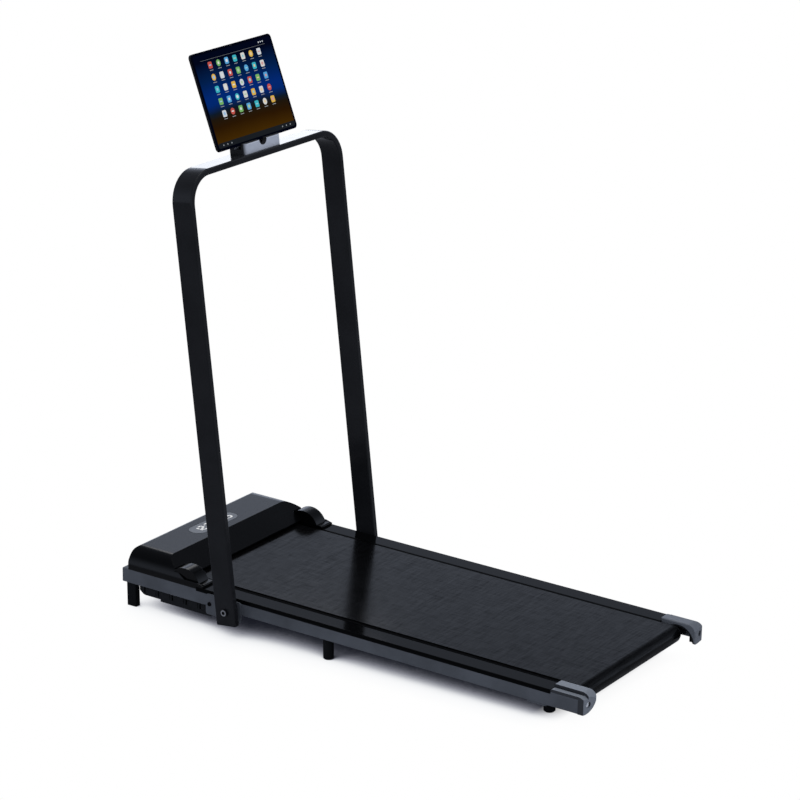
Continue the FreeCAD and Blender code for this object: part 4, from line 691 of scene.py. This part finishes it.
FACING_FORWARD = turned(90) @ Matrix.Rotation(math.pi, 4, "Y")
FACING_RIGHT = Matrix.Rotation(math.radians(90), 4, "Y") @ Matrix.Rotation(math.radians(90), 4, "Z")
TABLET_BACK = TABLET @ Matrix.Translation((0, TABLET_THICKNESS, 0)) @ FACING_FORWARD
TABLET_FOOT = TABLET @ Matrix.Translation((0, TABLET_THICKNESS / 2, 0)) @ turned(180)
TABLET_SIDE = TABLET @ Matrix.Translation((TABLET_WIDTH / 2, TABLET_THICKNESS / 2, 0)) @ FACING_RIGHT
# Black of thin trim, and of the painted shade that stands for the tablet's openings
HOLE_SHADE_AND_TRIM_BLACK = (0.002, 0.002, 0.003)
LENS_RIM = (0.09, 0.09, 0.1)
LENS_GLASS = (0.004, 0.006, 0.014)
BUTTON_COLOR = (0.012, 0.012, 0.014)
FRONT_LENS_RADIUS = 1.3 * MM
REAR_LENS_RADIUS = 6 * MM
REAR_RIM_RADIUS = 8.5 * MM
REAR_CAMERA_PROUD = 0.8 * MM
REAR_CAMERA_INSET = 22 * MM
FLASH_RADIUS = 2.2 * MM
FLASH_PLACE = 15 * MM
PORT_WIDTH = 9 * MM
PORT_DEPTH = 2.6 * MM
PORT_RADIUS = 1.25 * MM
SOUND_HOLE = 0.8 * MM
SOUND_HOLE_SIDES = 12
SOUND_START = 78 * MM
SOUND_PITCH = 4 * MM
SOUND_HOLES = 6
BUTTON_PROUD = 0.4 * MM
BUTTON_WIDTH = 2.2 * MM
BUTTON_RADIUS = MM
BUTTONS = ((186 * MM, 10 * MM), (166 * MM, 14 * MM), (148 * MM, 14 * MM))


def tablet_details():
    """Front camera, rear camera, flash dot, foot slots and port as dark marks of painted shade, and side
    buttons.
    """
    finish = marked_finish("tablet_marks")
    front = Sheet("tablet_front_camera", SKIN)
    front.add(disc(FRONT_LENS_RADIUS), (0, TABLET_HEIGHT - SCREEN_MARGIN / 2), LENS_GLASS)
    piece("tablet_front_camera", front.done(), SCREEN_PLANE, "tablet", finish)
    rear = Sheet("tablet_rear_camera", REAR_CAMERA_PROUD)
    corner = (TABLET_WIDTH / 2 - REAR_CAMERA_INSET, TABLET_HEIGHT - REAR_CAMERA_INSET)
    rear.ring(disc(REAR_RIM_RADIUS), disc(REAR_LENS_RADIUS), corner, LENS_RIM)
    rear.add(disc(REAR_LENS_RADIUS), corner, LENS_GLASS)
    rear.add(disc(FLASH_RADIUS), (corner[0] - FLASH_PLACE, corner[1]), PALE)
    piece("tablet_rear_camera", rear.done(), TABLET_BACK, "tablet", finish)
    # Painted shade: the port and the sound holes are dark marks on the foot, not openings
    foot = Sheet("tablet_foot_slots", SKIN)
    foot.add(rounded(PORT_WIDTH, PORT_DEPTH, PORT_RADIUS), (0, 0), HOLE_SHADE_AND_TRIM_BLACK)
    for side in (-1, 1):
        for step in range(SOUND_HOLES):
            along = side * (SOUND_START + step * SOUND_PITCH)
            foot.add(disc(SOUND_HOLE, SOUND_HOLE_SIDES), (along, 0), HOLE_SHADE_AND_TRIM_BLACK)
    piece("tablet_foot_slots", foot.done(), TABLET_FOOT, "tablet", finish)
    buttons = Sheet("tablet_buttons", BUTTON_PROUD)
    for height, length in BUTTONS:
        buttons.add(rounded(BUTTON_WIDTH, length, BUTTON_RADIUS), (0, height), BUTTON_COLOR)
    piece("tablet_buttons", buttons.done(), TABLET_SIDE, "tablet", finish)


# Display digits on the hood
DIGIT_WIDTH = 11 * MM
DIGIT_HEIGHT = 20 * MM
SEGMENT = 3.6 * MM
SEGMENT_SHARE = 0.94
DIGIT_GAP = 5.5 * MM
DOT_RADIUS = 1.5 * MM
COLON_RISE = DIGIT_HEIGHT / 5
TIME_PLACE = -55 * MM
SPEED_PLACE = 36 * MM
DIGIT_WHITE = (0.98, 0.99, 1.0)
WINDOW_PLANE = DECK @ Matrix.Translation((0, DISPLAY_PLACE, HOOD_TOP))
WINDOW_WIDTH = 148 * MM
WINDOW_DEPTH = 44 * MM
WINDOW_RADIUS = 21 * MM
RIM_WIDTH = 1.4 * MM
SEGMENTS_OF = {
    "0": "abcdef", "1": "bc", "2": "abged", "3": "abgcd", "4": "fgbc", "5": "afgcd", "6": "afgedc",
    "7": "abc", "8": "abcdefg", "9": "abcdfg"}
SHOWN_TIME = "1230"
SHOWN_SPEED = "25"


def segment_outline(length, lying):
    """Pointed bar of a digit, lying or upright, about its middle."""
    long, short = length / 2, SEGMENT / 2
    points = [(long, 0), (long - short, short), (short - long, short), (-long, 0), (short - long, -short),
              (long - short, -short)]
    if lying:
        return [Vector(p) for p in points]
    return [Vector((-b, a)) for a, b in points]


def digit(sheet, character, at):
    """One seven-segment digit."""
    reach = DIGIT_HEIGHT / 4
    side = DIGIT_WIDTH / 2
    bars = {
        "a": (0, 2 * reach), "g": (0, 0), "d": (0, -2 * reach), "f": (-side, reach), "b": (side, reach),
        "e": (-side, -reach), "c": (side, -reach)}
    for name in SEGMENTS_OF[character]:
        lying = name in "agd"
        length = (DIGIT_WIDTH if lying else DIGIT_HEIGHT / 2) * SEGMENT_SHARE
        x, y = bars[name]
        sheet.add(segment_outline(length, lying), (at[0] + x, at[1] + y), DIGIT_WHITE)


def display_digits():
    """Plain lit digits in the hood's window: minutes and seconds on the left, speed on the right."""
    sheet = Sheet("display_digits", SKIN)
    step = DIGIT_WIDTH + DIGIT_GAP
    for index, character in enumerate(SHOWN_TIME):
        extra = DIGIT_GAP if index > 1 else 0
        digit(sheet, character, (TIME_PLACE + index * step + extra, 0))
    colon = TIME_PLACE + 1.5 * step + DIGIT_GAP / 2
    for side in (-1, 1):
        sheet.add(disc(DOT_RADIUS), (colon, side * COLON_RISE), DIGIT_WHITE)
    for index, character in enumerate(SHOWN_SPEED):
        digit(sheet, character, (SPEED_PLACE + index * step, 0))
    sheet.add(disc(DOT_RADIUS), (SPEED_PLACE + step / 2, -DIGIT_HEIGHT / 2), DIGIT_WHITE)
    finish = lit_finish("display_marks")
    return piece("display_digits", sheet.done(), WINDOW_PLANE, "base", finish)


def display_rim():
    """Thin dark rim round the hood's window."""
    sheet = Sheet("display_rim", SKIN)
    outer = rounded(WINDOW_WIDTH + 2 * RIM_WIDTH, WINDOW_DEPTH + 2 * RIM_WIDTH, WINDOW_RADIUS + RIM_WIDTH)
    sheet.ring(outer, rounded(WINDOW_WIDTH, WINDOW_DEPTH, WINDOW_RADIUS), (0, 0), HOLE_SHADE_AND_TRIM_BLACK)
    finish = marked_finish("display_rim")
    return piece("display_rim", sheet.done(), WINDOW_PLANE, "base", finish)


# Small details of the frame
GROOVE_MIDDLE = 226.5 * MM
GROOVE_WIDTH = 2.6 * MM
GROOVE_FRONT = -515.4 * MM
GROOVE_REAR = -583.6 * MM
GROOVE_TOP = 36 * MM
GROOVE_PLATE_THICKNESS = 0.3 * MM
GROOVE_PLATE_RADIUS = 0.8 * MM


def groove_black_plates():
    """Thin glossy black plates in the end caps' grooves, in line with the foot strips."""
    length = GROOVE_FRONT - GROOVE_REAR
    place = DECK @ Matrix.Translation((0, (GROOVE_FRONT + GROOVE_REAR) / 2, GROOVE_TOP))
    for name, side in (("left", -1), ("right", 1)):
        sheet = Sheet("groove_black_plate_" + name, GROOVE_PLATE_THICKNESS)
        sheet.add(rounded(GROOVE_WIDTH, length, GROOVE_PLATE_RADIUS), (side * GROOVE_MIDDLE, 0), HOLE_SHADE_AND_TRIM_BLACK)
        piece("groove_black_plate_" + name, sheet.done(), place, "base", FINISHES["strip_black"])


LIP_FRONT = 386 * MM
LIP_LOW = 27.5 * MM
LIP_HIGH = 34 * MM
LIP_THICKNESS = 0.35 * MM
LIP_RADIUS = MM
HALF_FRAME = 240 * MM
OUTWARD = Matrix(((0, 0, 1, 0), (1, 0, 0, 0), (0, 1, 0, 0), (0, 0, 0, 1)))


def strip_lips():
    """The foot strips' thin outer lips, over the rails' upper edges."""
    middle = ((LIP_FRONT + GROOVE_FRONT) / 2, (LIP_LOW + LIP_HIGH) / 2)
    for name, side, turn in (("left", -1, math.pi), ("right", 1, 0)):
        sheet = Sheet("strip_lip_" + name, LIP_THICKNESS)
        sheet.add(rounded(LIP_FRONT - GROOVE_FRONT, LIP_HIGH - LIP_LOW, LIP_RADIUS), (0, 0), HOLE_SHADE_AND_TRIM_BLACK)
        facing = Matrix.Rotation(turn, 4, "Z") @ OUTWARD
        place = DECK @ Matrix.Translation((side * HALF_FRAME, *middle)) @ facing
        piece("strip_lip_" + name, sheet.done(), place, "base", FINISHES["strip_black"])


MARK_WHITE = (0.6, 0.6, 0.6)
ROCKER_FACE = 5.8 * MM
MARK_PLACE = 6.3 * MM
ON_MARK_WIDTH = 0.8 * MM
ON_MARK_LENGTH = 3 * MM
ON_MARK_RADIUS = 0.3 * MM
OFF_MARK_OUTER = 1.6 * MM
OFF_MARK_INNER = 1.1 * MM
ROCKER_PLACE = Matrix.Translation((SWITCH_PLACE, ROCKER_PIVOT, INLET_HEIGHT)) @ turned(-ROCKER_TILT_DEG)


def rocker_marks():
    """On and off marks of the power rocker: a bar and a ring, printed on its two ends."""
    finish = marked_finish("rocker_print")
    facing = Matrix.Translation((0, ROCKER_FACE, 0)) @ FACING_FORWARD
    sheet = Sheet("rocker_marks", SKIN)
    sheet.add(rounded(ON_MARK_WIDTH, ON_MARK_LENGTH, ON_MARK_RADIUS), (0, MARK_PLACE), MARK_WHITE)
    sheet.ring(disc(OFF_MARK_OUTER), disc(OFF_MARK_INNER), (0, -MARK_PLACE), MARK_WHITE)
    piece("rocker_marks", sheet.done(), DECK @ ROCKER_PLACE @ facing, "power_rocker", finish)


# Studio and camera

class Studio(Nodes):
    """Light of the floor and of the surroundings, by what a ray has come from."""

    def __init__(self, tree):
        super().__init__(tree)
        self.path = self.node("LightPath")

    def seen(self):
        """One for rays that show the white surroundings as such: from the camera or through glass."""
        either = self.node("Math", operation="MAXIMUM")
        self.link(self.path.outputs["Is Camera Ray"], either.inputs[0])
        self.link(self.path.outputs["Is Transmission Ray"], either.inputs[1])
        return either.outputs["Value"]

    def mixed(self, factor, first, second):
        """One colour or the other by a factor."""
        mix = self.node("Mix", data_type="RGBA")
        mix.inputs["A"].default_value = (*first, 1)
        mix.inputs["B"].default_value = (*second, 1)
        self.link(factor, mix.inputs["Factor"])
        return mix.outputs["Result"]

    def whitened(self, factor, color):
        """A colour turned to white by a factor."""
        mix = self.node("Mix", data_type="RGBA")
        mix.inputs["B"].default_value = (1, 1, 1, 1)
        self.link(factor, mix.inputs["Factor"])
        self.link(color, mix.inputs["A"])
        return mix.outputs["Result"]


FLOOR_SIZE = 60.0
FLOOR_COLOR = (0.62, 0.64, 0.68)
FLOOR_MIRRORED = (0.4, 0.41, 0.44)
SHADOW_REACH = 0.6
SHADOW_STOPS = [
    (0.06, (0.008, 0.009, 0.014)), (0.09, (0.032, 0.035, 0.046)), (0.15, (0.18, 0.185, 0.22)),
    (0.235, (0.45, 0.46, 0.5)), (0.3, (0.68, 0.69, 0.72)), (0.39, (0.86, 0.87, 0.885)),
    (0.55, (0.955, 0.96, 0.97)), (0.78, (1.0, 1.0, 1.0))]
REAR_LIGHT_START = -0.45
REAR_LIGHT_END = -0.52
REAR_LIGHT_SHARE = 0.92
SHADOW_SAMPLES = 32


def floor():
    """Pale floor that keeps the contact shadow, lighter at the rear, and fades into the surroundings."""
    mesh = bpy.data.meshes.new("floor")
    half = FLOOR_SIZE / 2
    corners = [(-half, -half, 0), (half, -half, 0), (half, half, 0), (-half, half, 0)]
    mesh.from_pydata(corners, [], [(0, 1, 2, 3)])
    made = bpy.data.objects.new("floor", mesh)
    bpy.context.scene.collection.objects.link(made)
    material = bpy.data.materials.new("floor")
    material.use_nodes = True
    material.node_tree.nodes.clear()
    studio = Studio(material.node_tree)
    output = studio.node("OutputMaterial")
    diffuse = studio.node("BsdfDiffuse")
    glossy = studio.path.outputs["Is Glossy Ray"]
    studio.link(studio.mixed(glossy, FLOOR_COLOR, FLOOR_MIRRORED), diffuse.inputs["Color"])
    openness = studio.node("AmbientOcclusion", samples=SHADOW_SAMPLES)
    openness.inputs["Distance"].default_value = SHADOW_REACH
    shadow = studio.ramp(openness.outputs["AO"], SHADOW_STOPS)
    rear = studio.spread(studio.along("Y"), 0, REAR_LIGHT_SHARE, REAR_LIGHT_START, REAR_LIGHT_END)
    glow = studio.node("Emission")
    studio.link(studio.whitened(rear, shadow), glow.inputs["Color"])
    either = studio.node("MixShader")
    studio.link(studio.seen(), either.inputs["Fac"])
    studio.link(diffuse.outputs["BSDF"], either.inputs[1])
    studio.link(glow.outputs["Emission"], either.inputs[2])
    studio.link(either.outputs["Shader"], output.inputs["Surface"])
    mesh.materials.append(material)


SKY_COLOR = (0.94, 0.98, 1.08)
GLOSS_COLOR = (0.9, 1.0, 1.22)
SKY_LIGHT = 0.75
HORIZON_GLOW = 1.3
OVERHEAD_GLOW = 0.2
HORIZON_RISE = 0.24
OVERHEAD_RISE = 0.62


def surroundings():
    """White for the camera; bright low down and dim overhead for gloss; soft even light for the rest."""
    world = bpy.data.worlds.new("studio")
    bpy.context.scene.world = world
    world.use_nodes = True
    studio = Studio(world.node_tree)
    background = world.node_tree.nodes["Background"]
    seen = studio.seen()
    glossy = studio.path.outputs["Is Glossy Ray"]
    lit = studio.mixed(glossy, SKY_COLOR, GLOSS_COLOR)
    studio.link(studio.whitened(seen, lit), background.inputs["Color"])
    rise = studio.along("Z", "Generated")
    gradient = studio.spread(rise, HORIZON_GLOW, OVERHEAD_GLOW, HORIZON_RISE, OVERHEAD_RISE)
    mirrored = studio.node("Mix", data_type="FLOAT")
    mirrored.inputs["A"].default_value = SKY_LIGHT
    studio.link(glossy, mirrored.inputs["Factor"])
    studio.link(gradient, mirrored.inputs["B"])
    strength = studio.node("Mix", data_type="FLOAT")
    strength.inputs["B"].default_value = 1
    studio.link(seen, strength.inputs["Factor"])
    studio.link(mirrored.outputs["Result"], strength.inputs["A"])
    studio.link(strength.outputs["Result"], background.inputs["Strength"])


def softbox(name, place, target, size, watts):
    """Area lamp turned towards a target, unseen by the camera."""
    lamp = bpy.data.lights.new(name, "AREA")
    lamp.shape = "RECTANGLE"
    lamp.size, lamp.size_y = size
    lamp.energy = watts
    made = bpy.data.objects.new(name, lamp)
    bpy.context.scene.collection.objects.link(made)
    made.location = place
    made.rotation_mode = "QUATERNION"
    made.rotation_quaternion = (Vector(target) - Vector(place)).to_track_quat("-Z", "Y")
    made.visible_camera = False
    return made


def camera():
    """Camera at the photograph's place and angle."""
    data = bpy.data.cameras.new("camera")
    data.lens = CAMERA_LENS
    data.sensor_width = CAMERA_SENSOR
    made = bpy.data.objects.new("camera", data)
    bpy.context.scene.collection.objects.link(made)
    azimuth = math.radians(CAMERA_AZIMUTH_DEG)
    elevation = math.radians(CAMERA_ELEVATION_DEG)
    level = math.cos(elevation)
    back = Vector((math.sin(azimuth) * level, -math.cos(azimuth) * level, math.sin(elevation)))
    made.location = CAMERA_PLACE
    made.rotation_mode = "QUATERNION"
    made.rotation_quaternion = (-back).to_track_quat("-Z", "Y")
    bpy.context.scene.camera = made


BAR_PLACE = (0, 0.389, 1.017)
RIM_PLACE = (1.161, 1.324, 1.184)
RIM_SIZE = (0.8, 0.36)
RIM_WATTS = 2.2
OVERHEAD_PLACE = (0.4, 0.2, 4.5)
OVERHEAD_SIZE = (3.5, 3.5)
OVERHEAD_WATTS = 90

dress_nodes()
screen()
screen_tiles()
tablet_details()
display_digits()
display_rim()
groove_black_plates()
strip_lips()
rocker_marks()
floor()
surroundings()
softbox("overhead", OVERHEAD_PLACE, (0, 0, 0), OVERHEAD_SIZE, OVERHEAD_WATTS)
softbox("rim", RIM_PLACE, BAR_PLACE, RIM_SIZE, RIM_WATTS)
camera()
bpy.context.scene.view_settings.view_transform = "Standard"
